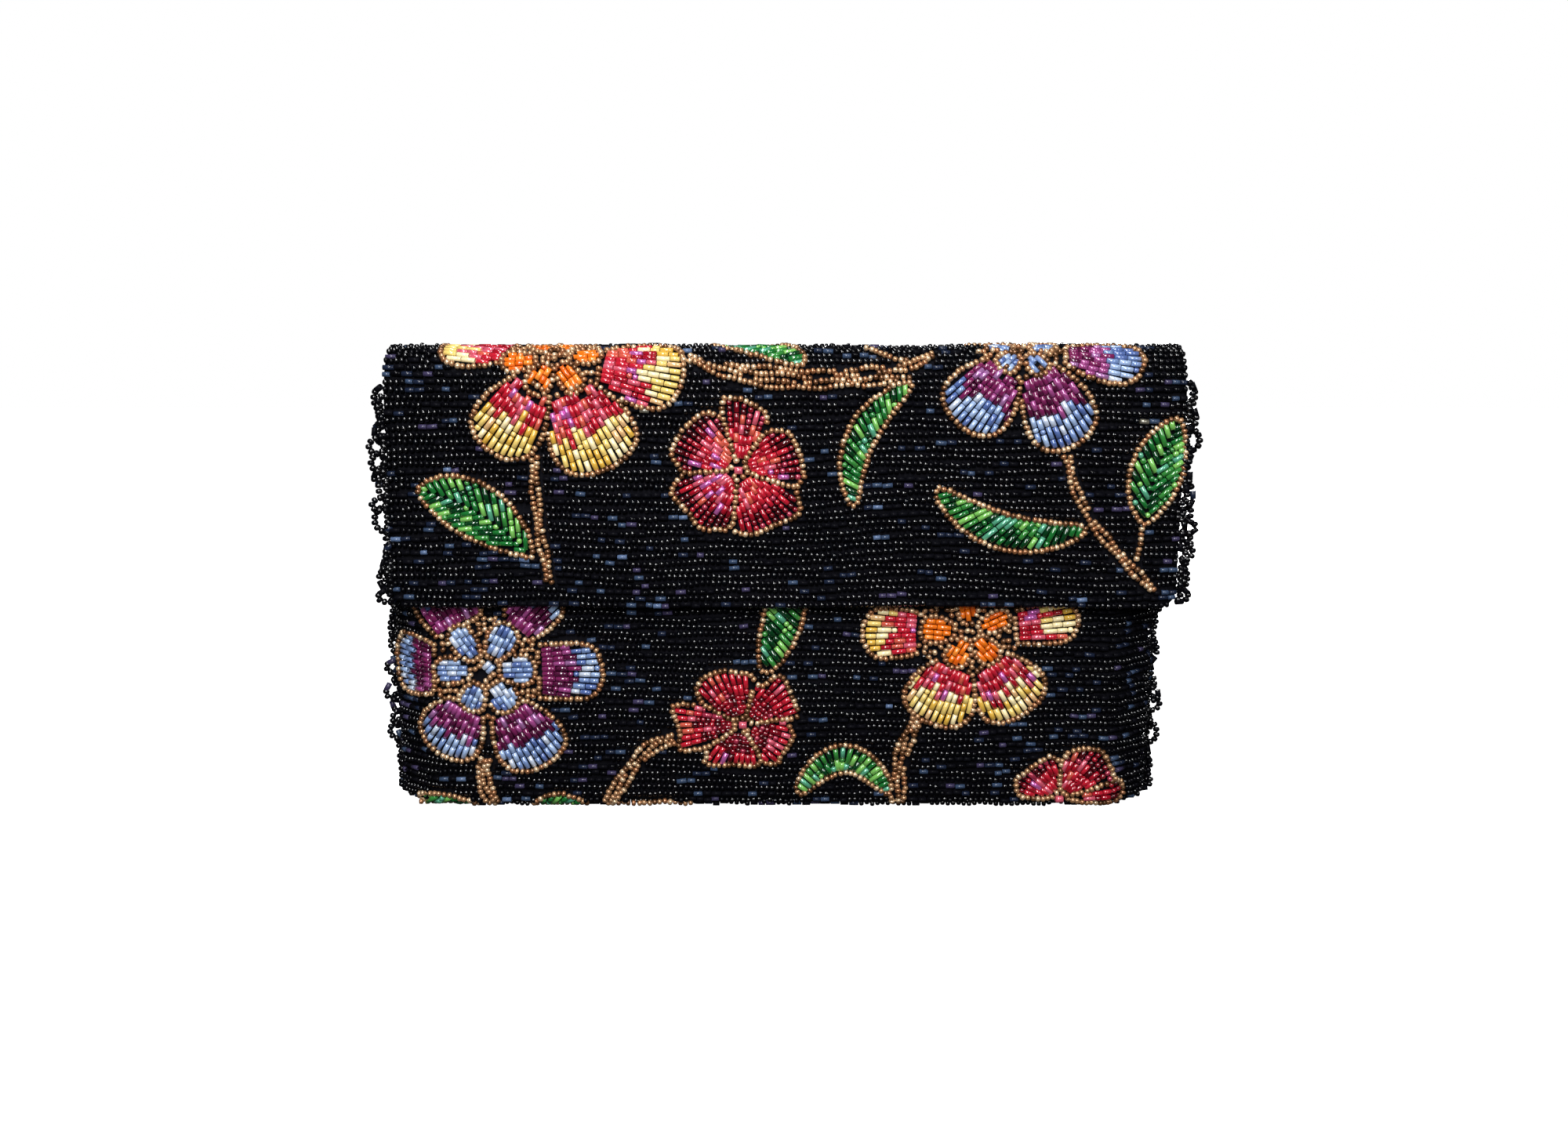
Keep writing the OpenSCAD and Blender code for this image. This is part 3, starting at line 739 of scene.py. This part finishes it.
def ground_row(piece, s):
    limit = half_width(s) - 0.3
    u = np.arange(-limit, limit, STEP)
    steady = START["fold"] - 8 < s < START["flap"] + 8
    wave = row_wave(s, u) * (0.35 if steady else 1.0)
    wave = wave * np.clip(min(abs(s - e) for e in (0, CLOTH_END, START["front_corner"],
                                                    END["front_corner"], START["back"])) / 6, 0, 1)
    uneven = 0.22 if steady or START["front_corner"] < s < END["back_corner"] else 0.1
    for a, b in free_runs(s, u):
        room = (b - a) * STEP
        if room < 1.1:
            continue
        sizes, kinds = [], []
        while sum(sizes) < room:
            if rng.random() < SEED_SHARE:
                run = rng.integers(*SEED_RUN)
                sizes += list(SEED_PITCH + rng.normal(0, 0.09, run))
                kinds += ["seed"] * run
            else:
                run = rng.integers(*BUGLE_RUN)
                sizes += list(rng.uniform(*BUGLE_L, run))
                kinds += ["bugle"] * run
        while len(sizes) > 1 and sum(sizes) - room > sizes[-1] / 2:
            sizes.pop()
            kinds.pop()
        squeeze = room / sum(sizes)
        if squeeze < LEAST_SQUEEZE:
            continue
        at = a * STEP - limit
        for size, kind in zip(sizes, kinds):
            size *= squeeze
            mid = at + size / 2
            at += size
            i = min(max(int((mid + limit) / STEP), 0), len(u) - 1)
            slope = (wave[min(i + 4, len(u) - 1)] - wave[max(i - 4, 0)]) / (8 * STEP)
            family = "black_seed" if kind == "seed" else "black_bugle"
            radius = (SEED_R if kind == "seed" else BUGLE_R) + rng.normal(0, 0.035)
            gap = SEED_PITCH - SEED_L if kind == "seed" else BUGLE_GAP
            store.append(Bead(piece, s + wave[i] + rng.normal(0, OFF_ROW), mid,
                              slope * size + rng.normal(0, OFF_WAY), size, size - gap, radius, kind,
                              shade_of(family), rng.normal(0, uneven)))


def ground():
    zones = [("front", 0, "pouch_front"), ("front_corner", 0, "pouch_base"), ("base", 0, "pouch_base"),
             ("back_corner", 0, "pouch_base"), ("back", 0, "pouch_back"), ("fold", STRIPS, "fold"),
             ("flap", 0, "flap")]
    for zone, strips, piece in zones:
        length = END[zone] - START[zone]
        count = int(round(length / ROW))
        if strips:
            count = strips * int(round(length / strips / ROW))
        pitch = length / count
        for k in range(count):
            ground_row(piece, START[zone] + (k + 0.5) * pitch)


# ---------- bead shapes ----------
def turned(profile, around=8):
    """A ring of quads for each step of a closed profile of (along, radius), turned round the thread."""
    a = np.arange(around) * 2 * math.pi / around
    v = np.array([(x, r * math.cos(t), r * math.sin(t)) for x, r in profile for t in a])
    rings = len(profile)
    f = [(i * around + j, i * around + (j + 1) % around,
          (i + 1) % rings * around + (j + 1) % around, (i + 1) % rings * around + j)
         for i in range(rings) for j in range(around)]
    return v, np.array(f)


# Unit shapes: the length runs from -0.5 to 0.5 and the radius is 1.
TEMPLATES = {
    "seed": turned([(-0.46, 0.32), (-0.5, 0.5), (-0.4, 0.8), (-0.2, 1.0), (0.2, 1.0), (0.4, 0.8),
                    (0.5, 0.5), (0.46, 0.32)]),
    "bugle": turned([(-0.5, 0.55), (-0.48, 0.97), (0.48, 0.97), (0.5, 0.55)]),
}
MAX_FACES = 95000  # quads in one piece


def frames_of(rows):
    """Centre, thread way, side and outward normal of each bead, in millimetres."""
    s, u, ds, du, rise = (np.array([getattr(r, field) for r in rows], float)
                          for field in ("s", "u", "ds", "du", "rise"))
    p0, _ = cloth(s - ds / 2, u - du / 2)
    p1, _ = cloth(s + ds / 2, u + du / 2)
    _, n = cloth(s, u)
    way = unit(p1 - p0, 1e-12)
    n = unit(n - (n * way).sum(1)[:, None] * way, 1e-12)
    return (p0 + p1) / 2 + n * rise[:, None], way, np.cross(n, way), n


def mesh_piece(name, verts, faces, materials, index=None):
    """A smooth mesh object from millimetres, quads, and which material each quad has if not the first."""
    mesh = bpy.data.meshes.new(name)
    mesh.vertices.add(len(verts))
    mesh.vertices.foreach_set("co", (verts * MM).astype(np.float32).ravel())
    mesh.loops.add(faces.size)
    mesh.loops.foreach_set("vertex_index", faces.astype(np.int32).ravel())
    mesh.polygons.add(len(faces))
    mesh.polygons.foreach_set("loop_start", np.arange(0, faces.size, faces.shape[1], dtype=np.int32))
    mesh.polygons.foreach_set("use_smooth", np.ones(len(faces), bool))
    for m in materials:
        mesh.materials.append(m)
    if index is not None:
        mesh.polygons.foreach_set("material_index", index.astype(np.int32))
    mesh.update(calc_edges=True)
    obj = bpy.data.objects.new(name, mesh)
    bpy.context.scene.collection.objects.link(obj)
    return obj


def build(name, rows, body, slot_name, frames=None):
    """One piece or more from a list of beads, each of at most MAX_FACES quads."""
    made = []
    centre, way, side, normal = frames or frames_of(rows)
    spin = rng.uniform(0, 2 * math.pi, len(rows))
    cost = np.cumsum([len(TEMPLATES[r.kind][1]) for r in rows])
    part = (cost // MAX_FACES).astype(int)
    for number in range(part[-1] + 1):
        chosen = np.flatnonzero(part == number)
        names = sorted({rows[i].shade for i in chosen})
        verts, faces, index = [], [], []
        base = 0
        for kind, (tv, tf) in TEMPLATES.items():
            ids = [i for i in chosen if rows[i].kind == kind]
            if not ids:
                continue
            ids = np.array(ids)
            length = np.array([rows[i].length for i in ids])
            radius = np.array([rows[i].radius for i in ids])
            c, k = np.cos(spin[ids])[:, None], np.sin(spin[ids])[:, None]
            e1 = side[ids] * c + normal[ids] * k
            e2 = normal[ids] * c - side[ids] * k
            v = (centre[ids][:, None, :] + tv[None, :, 0:1] * (way[ids] * length[:, None])[:, None, :]
                 + tv[None, :, 1:2] * (e1 * radius[:, None])[:, None, :]
                 + tv[None, :, 2:3] * (e2 * radius[:, None])[:, None, :])
            f = tf[None] + (np.arange(len(ids)) * len(tv))[:, None, None] + base
            verts.append(v.reshape(-1, 3))
            faces.append(f.reshape(-1, 4))
            shade = np.array([names.index(rows[i].shade) for i in ids])
            index.append(np.repeat(shade, len(tf)))
            base += len(ids) * len(tv)
        piece = name if part[-1] == 0 else "%s_%d" % (name, number + 1)
        obj = mesh_piece(piece, np.concatenate(verts), np.concatenate(faces),
                         [bead_material(n) for n in names], np.concatenate(index))
        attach(obj, body)
        made.append(obj)
    return made


def loop_line(body, side, z, y, span, reach, lean):
    """The thread of one loop at a side edge, from height z up by span and out by reach."""
    t = np.linspace(0, math.pi, 40)
    out = reach * np.sin(t) ** 0.8
    up = z + span * (1 - np.cos(t)) / 2 - 0.12 * reach * np.sin(t)
    half = FLAP_HALF - 0.4 + side * drift(FOLD_Z)
    if body == "pouch":
        half = BODY_HALF - 0.9 + side * drift(up)
    return np.stack([side * (half + out), y + lean * out, up], axis=1)


def thread_beads(name, line):
    """Black beads along a loop's thread, each as its centre, its way and its bead."""
    along = lengths_along(line)
    at = 0.9
    while at < along[-1] - 0.6:
        kind = "bugle" if rng.random() < 0.12 else "seed"
        length = 2.9 if kind == "bugle" else SEED_PITCH
        start, end = (np.array([np.interp(q, along, line[:, i]) for i in range(3)])
                      for q in (at - length / 2 + 0.3, at + length / 2 + 0.3))
        shade = shade_of("black_bugle" if kind == "bugle" else "black_seed")
        radius = (SEED_R if kind == "seed" else BUGLE_R) + 0.16
        yield ((start + end) / 2, (end - start) / np.linalg.norm(end - start),
               Bead(name, 0, 0, 0, 0, length - 0.14, radius, kind, shade, 0))
        at += length + 0.05


def picots(name, body, side, low, high):
    """Loops of black beads up a side edge: one pass of loops that reach out, and one of flatter ones."""
    box_low, box_high = node_box(name)
    y = (box_low[1] + box_high[1]) / 2
    found = []
    for least, most in ((1.6, 5.6), (0.4, 2.6)):
        z = low
        while z < high - 5:
            span, reach, lean = rng.uniform(4.5, 9.5), rng.uniform(least, most), rng.uniform(-0.6, 0.6)
            found += thread_beads(name, loop_line(body, side, z, y, span, reach, lean))
            z += span * rng.uniform(0.5, 0.9)
    centre, way, rows = zip(*found)
    centre, way = np.array(centre), np.array(way)
    across = unit(np.cross(way, (0, 1, 0)), 1e-9)
    pieces = build("beads_" + name, rows, body, "black_beads", (centre, way, across, np.cross(way, across)))
    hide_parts(name)


# ---------- cloth layers ----------
CLOTH_T, FLEECE_T, LINING_T = 0.5, 0.8, 0.4
SHELL_T = BEAD_T + CLOTH_T + FLEECE_T + LINING_T
CLOTH_DEPTH = (BEAD_T + 0.02, BEAD_T + CLOTH_T)
FLEECE_DEPTH = (BEAD_T + CLOTH_T + 0.02, SHELL_T - LINING_T - 0.02)
LINING_DEPTH = (SHELL_T - LINING_T, SHELL_T)
FOLD_GAP = 1.2  # the panels' layers stop this short of the fold, clear of its beads when the flap is open


def closed_faces(rows, columns):
    """Quads of a thin closed sheet: a grid, the same grid under it, and a skirt that joins their rims."""
    count = rows * columns
    grid = np.arange(count).reshape(rows, columns)
    quad = np.stack([grid[:-1, :-1], grid[:-1, 1:], grid[1:, 1:], grid[1:, :-1]], -1).reshape(-1, 4)
    rim = np.concatenate([grid[0, :-1], grid[:-1, -1], grid[-1, :0:-1], grid[:0:-1, 0]])
    ahead = np.roll(rim, -1)
    skirt = np.stack([rim, rim + count, ahead + count, ahead], -1)
    return np.concatenate([quad, quad[:, ::-1] + count, skirt])


def shell(name, s_list, width, outer, inner, material, crease=0.0, seed=0):
    """A thin closed layer over part of the cloth: rows at s_list, width(s) each way, between two depths."""
    across = 64
    share = np.linspace(-1, 1, across + 1)
    s = np.repeat(np.array(s_list, float)[:, None], across + 1, axis=1)
    u = np.array([width(v) for v in s_list])[:, None] * share[None]
    wave = crease * ripple(u * 3.1, s * 2.3, seed) * np.sin(math.pi * np.clip(np.abs(share), 0, 1))[None]
    top, _ = cloth(s, u, outer + wave)
    low, _ = cloth(s, u, inner + wave)
    verts = np.concatenate([top.reshape(-1, 3), low.reshape(-1, 3)])
    return mesh_piece(name, verts, closed_faces(*s.shape), [material])


def inner_width(trim):
    return lambda s: half_width(s) - trim


def declare(s_list, width):
    """Works out how wide the layer was cut along its rows at s_list, width(s) each way; nothing is done with
    the widths.
    """
    s = np.linspace(s_list[0], s_list[-1], 60)
    widths = np.array([2 * width(v) for v in s])


def layer(name, node, body, s_list, trim, depth, crease=0.0):
    """One soft layer: it stands for a CAD node, which it hides, and rides a body."""
    kind = name.rsplit("_", 1)[1]
    material = {"cloth": cloth_material, "fleece": fleece_material, "satin": satin_material}[kind]()
    obj = shell(name, s_list, inner_width(trim), *depth, material, crease, 3)
    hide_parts(node)
    {"cloth": "ground_cloth"}.get(kind, kind)
    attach(obj, body)
    declare(s_list, inner_width(trim))


def pouch_layers():
    end = END["back"] - FOLD_GAP
    s = np.concatenate([np.linspace(0, END["front"], 60)[:-1],
                        np.linspace(START["front_corner"], END["back_corner"], 26)[:-1],
                        np.linspace(START["back"], end, 60)])
    front_part = s[s <= (START["base"] + END["base"]) / 2]
    back_part = s[s >= front_part[-1]]
    layer("pouch_cloth", "pouch_ground_cloth", "pouch", s, 0.2, CLOTH_DEPTH)
    for side, part in (("front", front_part), ("back", back_part)):
        layer("pouch_%s_fleece" % side, "pouch_%s_interfacing" % side, "pouch", part[2:-2], 4.6,
              FLEECE_DEPTH)
        layer("pouch_%s_satin" % side, "pouch_%s_lining" % side, "pouch", part, 3.4, LINING_DEPTH,
              crease=0.12)


def flap_layers():
    s = np.linspace(START["flap"] + FOLD_GAP, CLOTH_END - 0.25, 60)
    layer("flap_cloth", "flap_ground_cloth", "flap", s, 0.2, CLOTH_DEPTH)
    layer("flap_fleece", "flap_interfacing", "flap", s[:-2], 1.0, FLEECE_DEPTH)
    layer("flap_satin", "flap_lining", "flap", s[:-1], 0.8, LINING_DEPTH, crease=0.06)


def fold_layers():
    """The soft layers of the fold, cut in the middle of each strip so that each piece spans one hinge."""
    step = (END["fold"] - START["fold"]) / STRIPS
    near = math.radians(8)
    for j in range(STRIPS + 1):
        s0 = START["fold"] + max(j - 0.5, -0.25) * step
        s1 = START["fold"] + min(j + 0.5, STRIPS + 0.25) * step
        s = np.linspace(s0, s1, 12)
        turn = math.pi * j / STRIPS
        start, end = ((0, FOLD_R * math.cos(turn + d) * MM, (FOLD_Z + FOLD_R * math.sin(turn + d)) * MM)
                      for d in (-near, near))
        for kind, depth, material, slot_name in (
                ("cloth", (BEAD_T + 0.04, SHELL_T - LINING_T - 0.02), cloth_material(), "ground_cloth"),
                ("lining", (SHELL_T - LINING_T + 0.05, SHELL_T + 0.05), satin_material(), "satin")):
            piece = shell("fold_%s_%d" % (kind, j), s, inner_width(0.6), *depth, material)
            if j > 0:
                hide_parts("fold_%d_%s" % (j, kind))
            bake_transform(piece)
            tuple(start)
            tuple(end)


def swept_strip(name, profile, u, material):
    """A closed profile of (s, depth) carried along the mouth by u."""
    rings = [cloth(np.array([p[0] for p in profile], float), np.full(len(profile), v),
                   np.array([p[1] for p in profile]) + 0.08 * math.sin(v / 2.9))[0] for v in u]
    n, k = len(u), len(profile)
    verts = np.concatenate(rings)
    grid = np.arange(n * k).reshape(n, k)
    nxt = np.roll(grid, -1, axis=1)
    faces = np.stack([grid[:-1], nxt[:-1], nxt[1:], grid[1:]], -1).reshape(-1, 4)
    return mesh_piece(name, verts, faces, [material])


def mouth_binding():
    profile = [(-0.6, 0.9), (-0.75, 2.4), (-0.6, 4.1), (1.5, 4.2), (4, 4.2), (6.8, 4.15), (7, 3.65),
               (4, 3.62), (0.2, 3.62), (0.0, 2.2), (0.0, 0.9)]
    reach = PLAN_U[-1] - 5
    strip = swept_strip("mouth_binding_satin", profile, np.linspace(-reach, reach, 220), satin_material())
    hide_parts("mouth_binding")
    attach(strip, "pouch")


def slip_pocket():
    """A flat patch of satin whose edges turn under, standing a little off the back lining."""
    low, high = node_box("slip_pocket")
    nx, nz = 60, 36
    a, b = np.meshgrid(np.linspace(0, 1, nx + 1), np.linspace(0, 1, nz + 1))
    x = low[0] + a * (high[0] - low[0])
    z = low[2] + b * (high[2] - low[2])
    edge = np.minimum(np.minimum(a, 1 - a) * (high[0] - low[0]), b * (high[2] - low[2]))
    stand = (high[1] - low[1]) * (0.35 + 0.5 * np.clip(edge / 5, 0, 1))
    stand = stand + 0.12 * ripple(x * 2, z * 2, 8) * (edge > 3)
    stand += 0.25 * np.clip((b - 0.94) / 0.06, 0, 1)
    y_line = high[1] - stand
    outer = np.stack([x, y_line, z], -1).reshape(-1, 3)
    inner = np.stack([x, np.minimum(y_line + 0.35, high[1] + 0.1), z], -1).reshape(-1, 3)
    piece = mesh_piece("slip_pocket_satin", np.concatenate([outer, inner]), closed_faces(nz + 1, nx + 1),
                       [satin_material()])
    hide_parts("slip_pocket")
    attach(piece, "pouch")


# ---------- materials ----------
def put(node, values):
    """Sets constants on a node's own sockets."""
    for socket, value in values.items():
        node.inputs[socket].default_value = value


def woven(name, colour, colour2, scale, rough, sheen, bump):
    """Cloth with a fine crossed weave and uneven colour."""
    m, shader = new_material(name)
    nodes, links = m.node_tree.nodes, m.node_tree.links
    place = nodes.new("ShaderNodeTexCoord")
    warp, weft = nodes.new("ShaderNodeTexWave"), nodes.new("ShaderNodeTexWave")
    warp.bands_direction, weft.bands_direction = "X", "Z"
    for thread in (warp, weft):
        put(thread, {"Scale": scale, "Distortion": 1.5})
        links.new(place.outputs["Object"], thread.inputs["Vector"])
    cross = nodes.new("ShaderNodeMath")
    cross.operation = "MULTIPLY"
    links.new(warp.outputs["Fac"], cross.inputs[0])
    links.new(weft.outputs["Fac"], cross.inputs[1])
    mottle = nodes.new("ShaderNodeTexNoise")
    mottle.inputs["Scale"].default_value = 60
    links.new(place.outputs["Object"], mottle.inputs["Vector"])
    tint = nodes.new("ShaderNodeValToRGB")
    tint.color_ramp.elements[0].color = linear(*colour)
    tint.color_ramp.elements[1].color = linear(*colour2)
    links.new(mottle.outputs["Fac"], tint.inputs["Fac"])
    links.new(tint.outputs["Color"], shader.inputs["Base Color"])
    raised = nodes.new("ShaderNodeBump")
    put(raised, {"Strength": bump, "Distance": 0.0002})
    links.new(cross.outputs["Value"], raised.inputs["Height"])
    links.new(raised.outputs["Normal"], shader.inputs["Normal"])
    put(shader, {
        "Roughness": rough,
        "Sheen Weight": sheen,
        "Specular IOR Level": 0.0 if rough > 0.9 else 0.5,
    })
    return m


@cache
def cloth_material():
    return woven("ground_cloth_weave", (16, 16, 20), (26, 26, 31), 900, 0.95, 0.0, 0.6)


@cache
def satin_material():
    return woven("satin_lining_weave", (11, 10, 13), (19, 18, 22), 1500, 0.34, 0.12, 0.25)


@cache
def fleece_material():
    return woven("fleece_felt", (205, 200, 188), (232, 229, 220), 500, 0.95, 0.6, 0.9)


@cache
def nickel_material():
    m, shader = new_material("snap_nickel_plate")
    nodes, links = m.node_tree.nodes, m.node_tree.links
    place, scratch = nodes.new("ShaderNodeTexCoord"), nodes.new("ShaderNodeTexNoise")
    scratch.inputs["Scale"].default_value = 900
    links.new(place.outputs["Object"], scratch.inputs["Vector"])
    span = nodes.new("ShaderNodeMapRange")
    put(span, {"To Min": 0.40, "To Max": 0.55})
    links.new(scratch.outputs["Fac"], span.inputs["Value"])
    links.new(span.outputs["Result"], shader.inputs["Roughness"])
    put(shader, {"Base Color": linear(205, 203, 200), "Metallic": 0.75})
    return m


def linear(*rgb):
    return tuple(((c / 255) / 12.92 if c <= 10 else ((c / 255 + 0.055) / 1.055) ** 2.4) for c in rgb) + (1,)


def new_material(name):
    """A material and its shader. The CAD brings materials of its own, so these names differ."""
    m = bpy.data.materials.new(name)
    m.use_nodes = True
    return m, m.node_tree.nodes["Principled BSDF"]


# Each shade of bead: colour, metallic, roughness, glow and lustre. The glow is a small emission that stands
# for light passing through the glass, so it shows in the dark too.
BEAD_SHADES = {
    "black_jet": ((7, 7, 10), 0, 0.08, 0, 0),
    "black_soft": ((8, 8, 12), 0, 0.1, 0, 0),
    "black_blue": ((5, 7, 12), 0, 0.09, 0, 0),
    "black_dull": ((13, 13, 18), 0, 0.3, 0, 0),
    "navy_deep": ((26, 34, 54), 0, 0.25, 0, 0),
    "navy_violet": ((60, 54, 84), 0, 0.25, 0, 0),
    "navy_mid": ((54, 70, 96), 0, 0.25, 0, 0),
    "navy_light": ((88, 108, 142), 0, 0.28, 0, 0),
    "silver_lined": ((150, 146, 132), 0.6, 0.3, 0, 0),
    "gold_bronze": ((192, 146, 106), 0.5, 0.2, 0, 0),
    "gold_light": ((234, 198, 158), 0.5, 0.2, 0, 0),
    "gold_dark": ((118, 80, 50), 0.55, 0.22, 0, 0),
    "gold_copper": ((172, 118, 80), 0.55, 0.2, 0, 0),
    "orange_mid": ((240, 118, 22), 0, 0.25, 0.06, 0),
    "orange_deep": ((228, 98, 14), 0, 0.25, 0.05, 0),
    "orange_light": ((248, 142, 48), 0, 0.25, 0.06, 0),
    "red_mid": ((192, 30, 50), 0, 0.13, 0.06, 0),
    "red_deep": ((160, 16, 36), 0, 0.13, 0.05, 0),
    "red_pink": ((222, 96, 118), 0.2, 0.15, 0.08, 0),
    "red_coral": ((206, 88, 72), 0, 0.15, 0.06, 0),
    "red_lustre": ((222, 120, 200), 0.6, 0.18, 0.08, 1),
    "garnet_mid": ((122, 10, 28), 0, 0.12, 0.03, 0),
    "garnet_deep": ((78, 6, 16), 0, 0.10, 0.02, 0),
    "garnet_lustre": ((190, 60, 90), 0.4, 0.15, 0.05, 1),
    "yellow_mid": ((236, 206, 118), 0, 0.14, 0.10, 0),
    "yellow_pale": ((246, 230, 180), 0, 0.14, 0.10, 0),
    "yellow_deep": ((224, 178, 72), 0, 0.14, 0.08, 0),
    "yellow_peach": ((240, 196, 140), 0.2, 0.16, 0.08, 0),
    "purple_mid": ((120, 34, 86), 0, 0.13, 0.05, 0),
    "purple_deep": ((80, 18, 56), 0, 0.12, 0.03, 0),
    "purple_light": ((165, 76, 140), 0.2, 0.16, 0.08, 0),
    "purple_lustre": ((190, 130, 190), 0.5, 0.18, 0.06, 1),
    "blue_mid": ((122, 148, 198), 0.1, 0.15, 0.04, 0),
    "blue_light": ((164, 188, 226), 0.1, 0.15, 0.05, 0),
    "blue_deep": ((88, 112, 172), 0.1, 0.15, 0.03, 0),
    "blue_ice": ((208, 220, 240), 0.2, 0.16, 0.06, 0),
    "green_mid": ((28, 112, 48), 0, 0.13, 0.04, 0),
    "green_lime": ((122, 190, 92), 0, 0.14, 0.07, 0),
    "green_deep": ((6, 58, 26), 0, 0.12, 0.02, 0),
    "green_aqua": ((92, 176, 140), 0.2, 0.15, 0.05, 0),
    "green_leaf": ((54, 134, 58), 0, 0.13, 0.05, 0),
}


BLACK_SHINE = {"black_jet": 1.0, "black_soft": 0.15, "black_blue": 0.6, "black_dull": 0.03}


@cache
def bead_material(name):
    """Glass of one shade: these are plain settings, and the beads differ from one another by their shades."""
    m, shader = new_material("bead_" + name)
    colour, metallic, rough, glow, lustre = BEAD_SHADES[name]
    put(shader, {
        "Base Color": linear(*colour),
        "Metallic": metallic,
        "Roughness": rough,
        "Coat Weight": 0.3 if metallic > 0.4 else 1.0,
        "Coat Roughness": 0.05,
        "Coat IOR": 1.65,
    })
    if name.startswith("black"):
        put(shader, {"Specular IOR Level": BLACK_SHINE[name], "Coat Weight": 0.0})
    if name.startswith("navy"):
        put(shader, {"Specular IOR Level": 0.3, "Coat Weight": 0.15})
    if glow:
        put(shader, {"Emission Color": linear(*colour), "Emission Strength": glow})
    if lustre:
        shader.inputs["Thin Film Thickness"].default_value = 420
    return m


# ---------- make it ----------
for flower in FLOWERS:
    draw_flower(flower)
for leaves in LEAVES:
    draw_leaves(leaves)
for stems in STEMS:
    draw_stems(stems)
ground()


def slot_for(piece):
    for word in ("orange", "violet", "red"):
        if word in piece:
            return word + "_beads"
    if "corner" in piece:
        return "red_beads"
    if "leaves" in piece:
        return "green_beads"
    return "gold_beads" if "stems" in piece else "black_beads"


def piece_name(piece, body):
    """A motif that runs on to another body goes on there as a piece of its own."""
    if piece == "fold":
        return body + "_ground"
    home = "flap" if piece.startswith("flap") else "pouch"
    is_motif = piece != "flap" and not piece.startswith("pouch")
    return piece + "_on_" + body if is_motif and body != home else piece


groups = {}
for bead, body in zip(store, body_at(np.array([bead.s for bead in store]))):
    groups.setdefault((piece_name(bead.piece, body), str(body)), []).append(bead)

STANDS_FOR = {"pouch_front": ["pouch_front_beads", "pouch_left_side_beads", "pouch_right_side_beads"],
              "pouch_base": ["pouch_base_beads"], "pouch_back": ["pouch_back_beads"], "flap": ["flap_beads"]}
for (name, body), rows in sorted(groups.items()):
    pieces = build("beads_" + name, rows, body, slot_for(name))
    nodes = list(STANDS_FOR.get(name, []))
    if name in frame["nodes"]:
        nodes.append(name)
    if name.endswith("_ground"):
        nodes.append(body + "_beads")
    if nodes:
        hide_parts(*nodes)


for side, word in ((-1, "left"), (1, "right")):
    picots("pouch_%s_picots" % word, "pouch", side, 1.2, FOLD_Z - 6)
    picots("flap_%s_picots" % word, "flap", side, FLAP_EDGE + 2, FOLD_Z - 1)
pouch_layers()
flap_layers()
fold_layers()
mouth_binding()
slip_pocket()
for node in ("snap_socket", "snap_socket_washer", "snap_stud", "snap_stud_washer"):
    metal = frame["nodes"][node]
    metal.data.materials.clear()
    metal.data.materials.append(nickel_material())


# ---------- camera, light and floor ----------
def look_at(obj, place, target):
    obj.location = Vector(place)
    obj.rotation_euler = (Vector(target) - Vector(place)).to_track_quat("-Z", "Y").to_euler()


def camera():
    data = bpy.data.cameras.new("camera")
    cam = bpy.data.objects.new("camera", data)
    bpy.context.scene.collection.objects.link(cam)
    rise, far = math.radians(10), 0.415  # fitted by outline; another pair could fit about as well
    target = Vector((0, -0.015, 0.082))
    look_at(cam, target + far * Vector((0, -math.cos(rise), math.sin(rise))), target)
    data.sensor_width = 36
    data.lens = 36 * 0.813
    data.clip_start = 0.01
    data.shift_x, data.shift_y = 0.0033, 0.0038
    bpy.context.scene.camera = cam


def area_light(name, place, width, height, power):
    data = bpy.data.lights.new(name, "AREA")
    data.shape = "RECTANGLE"
    data.size, data.size_y, data.energy = width, height, power
    light = bpy.data.objects.new(name, data)
    bpy.context.scene.collection.objects.link(light)
    look_at(light, place, (0, 0, 0.075))


def floor():
    mesh = bpy.data.meshes.new("floor")
    w = 3.0
    mesh.from_pydata([(-w, -w, 0), (w, -w, 0), (w, w, 0), (-w, w, 0)], [], [(0, 1, 2, 3)])
    m, shader = new_material("studio_floor")
    put(shader, {
        "Base Color": (0.92, 0.92, 0.92, 1),
        "Roughness": 1.0,
        "Emission Color": (1, 1, 1, 1),
        "Emission Strength": 1.0,
    })
    mesh.materials.append(m)
    obj = bpy.data.objects.new("floor", mesh)
    obj.visible_glossy = False
    obj.visible_diffuse = False
    bpy.context.scene.collection.objects.link(obj)


def world():
    """White to the camera, and dim to the beads, so that black glass stays black."""
    w = bpy.data.worlds.new("studio")
    bpy.context.scene.world = w
    w.use_nodes = True
    nodes, links = w.node_tree.nodes, w.node_tree.links
    back = nodes["Background"]
    path = nodes.new("ShaderNodeLightPath")
    level = nodes.new("ShaderNodeMapRange")
    put(level, {"To Min": 0.02, "To Max": 1.0})
    links.new(path.outputs["Is Camera Ray"], level.inputs["Value"])
    links.new(level.outputs["Result"], back.inputs["Strength"])
    back.inputs["Color"].default_value = (1, 1, 1, 1)


camera()
floor()
world()
area_light("key", (-0.08, -0.50, 0.47), 0.2, 0.6, 5.2)
area_light("spark", (0.40, -0.50, 0.40), 0.12, 0.3, 1.2)
area_light("crown", (-0.3, -0.1, 1.0), 0.12, 0.12, 2)
area_light("back", (0.3, 1.0, 0.25), 0.24, 0.24, 12)
bpy.context.scene.view_settings.view_transform = "Standard"
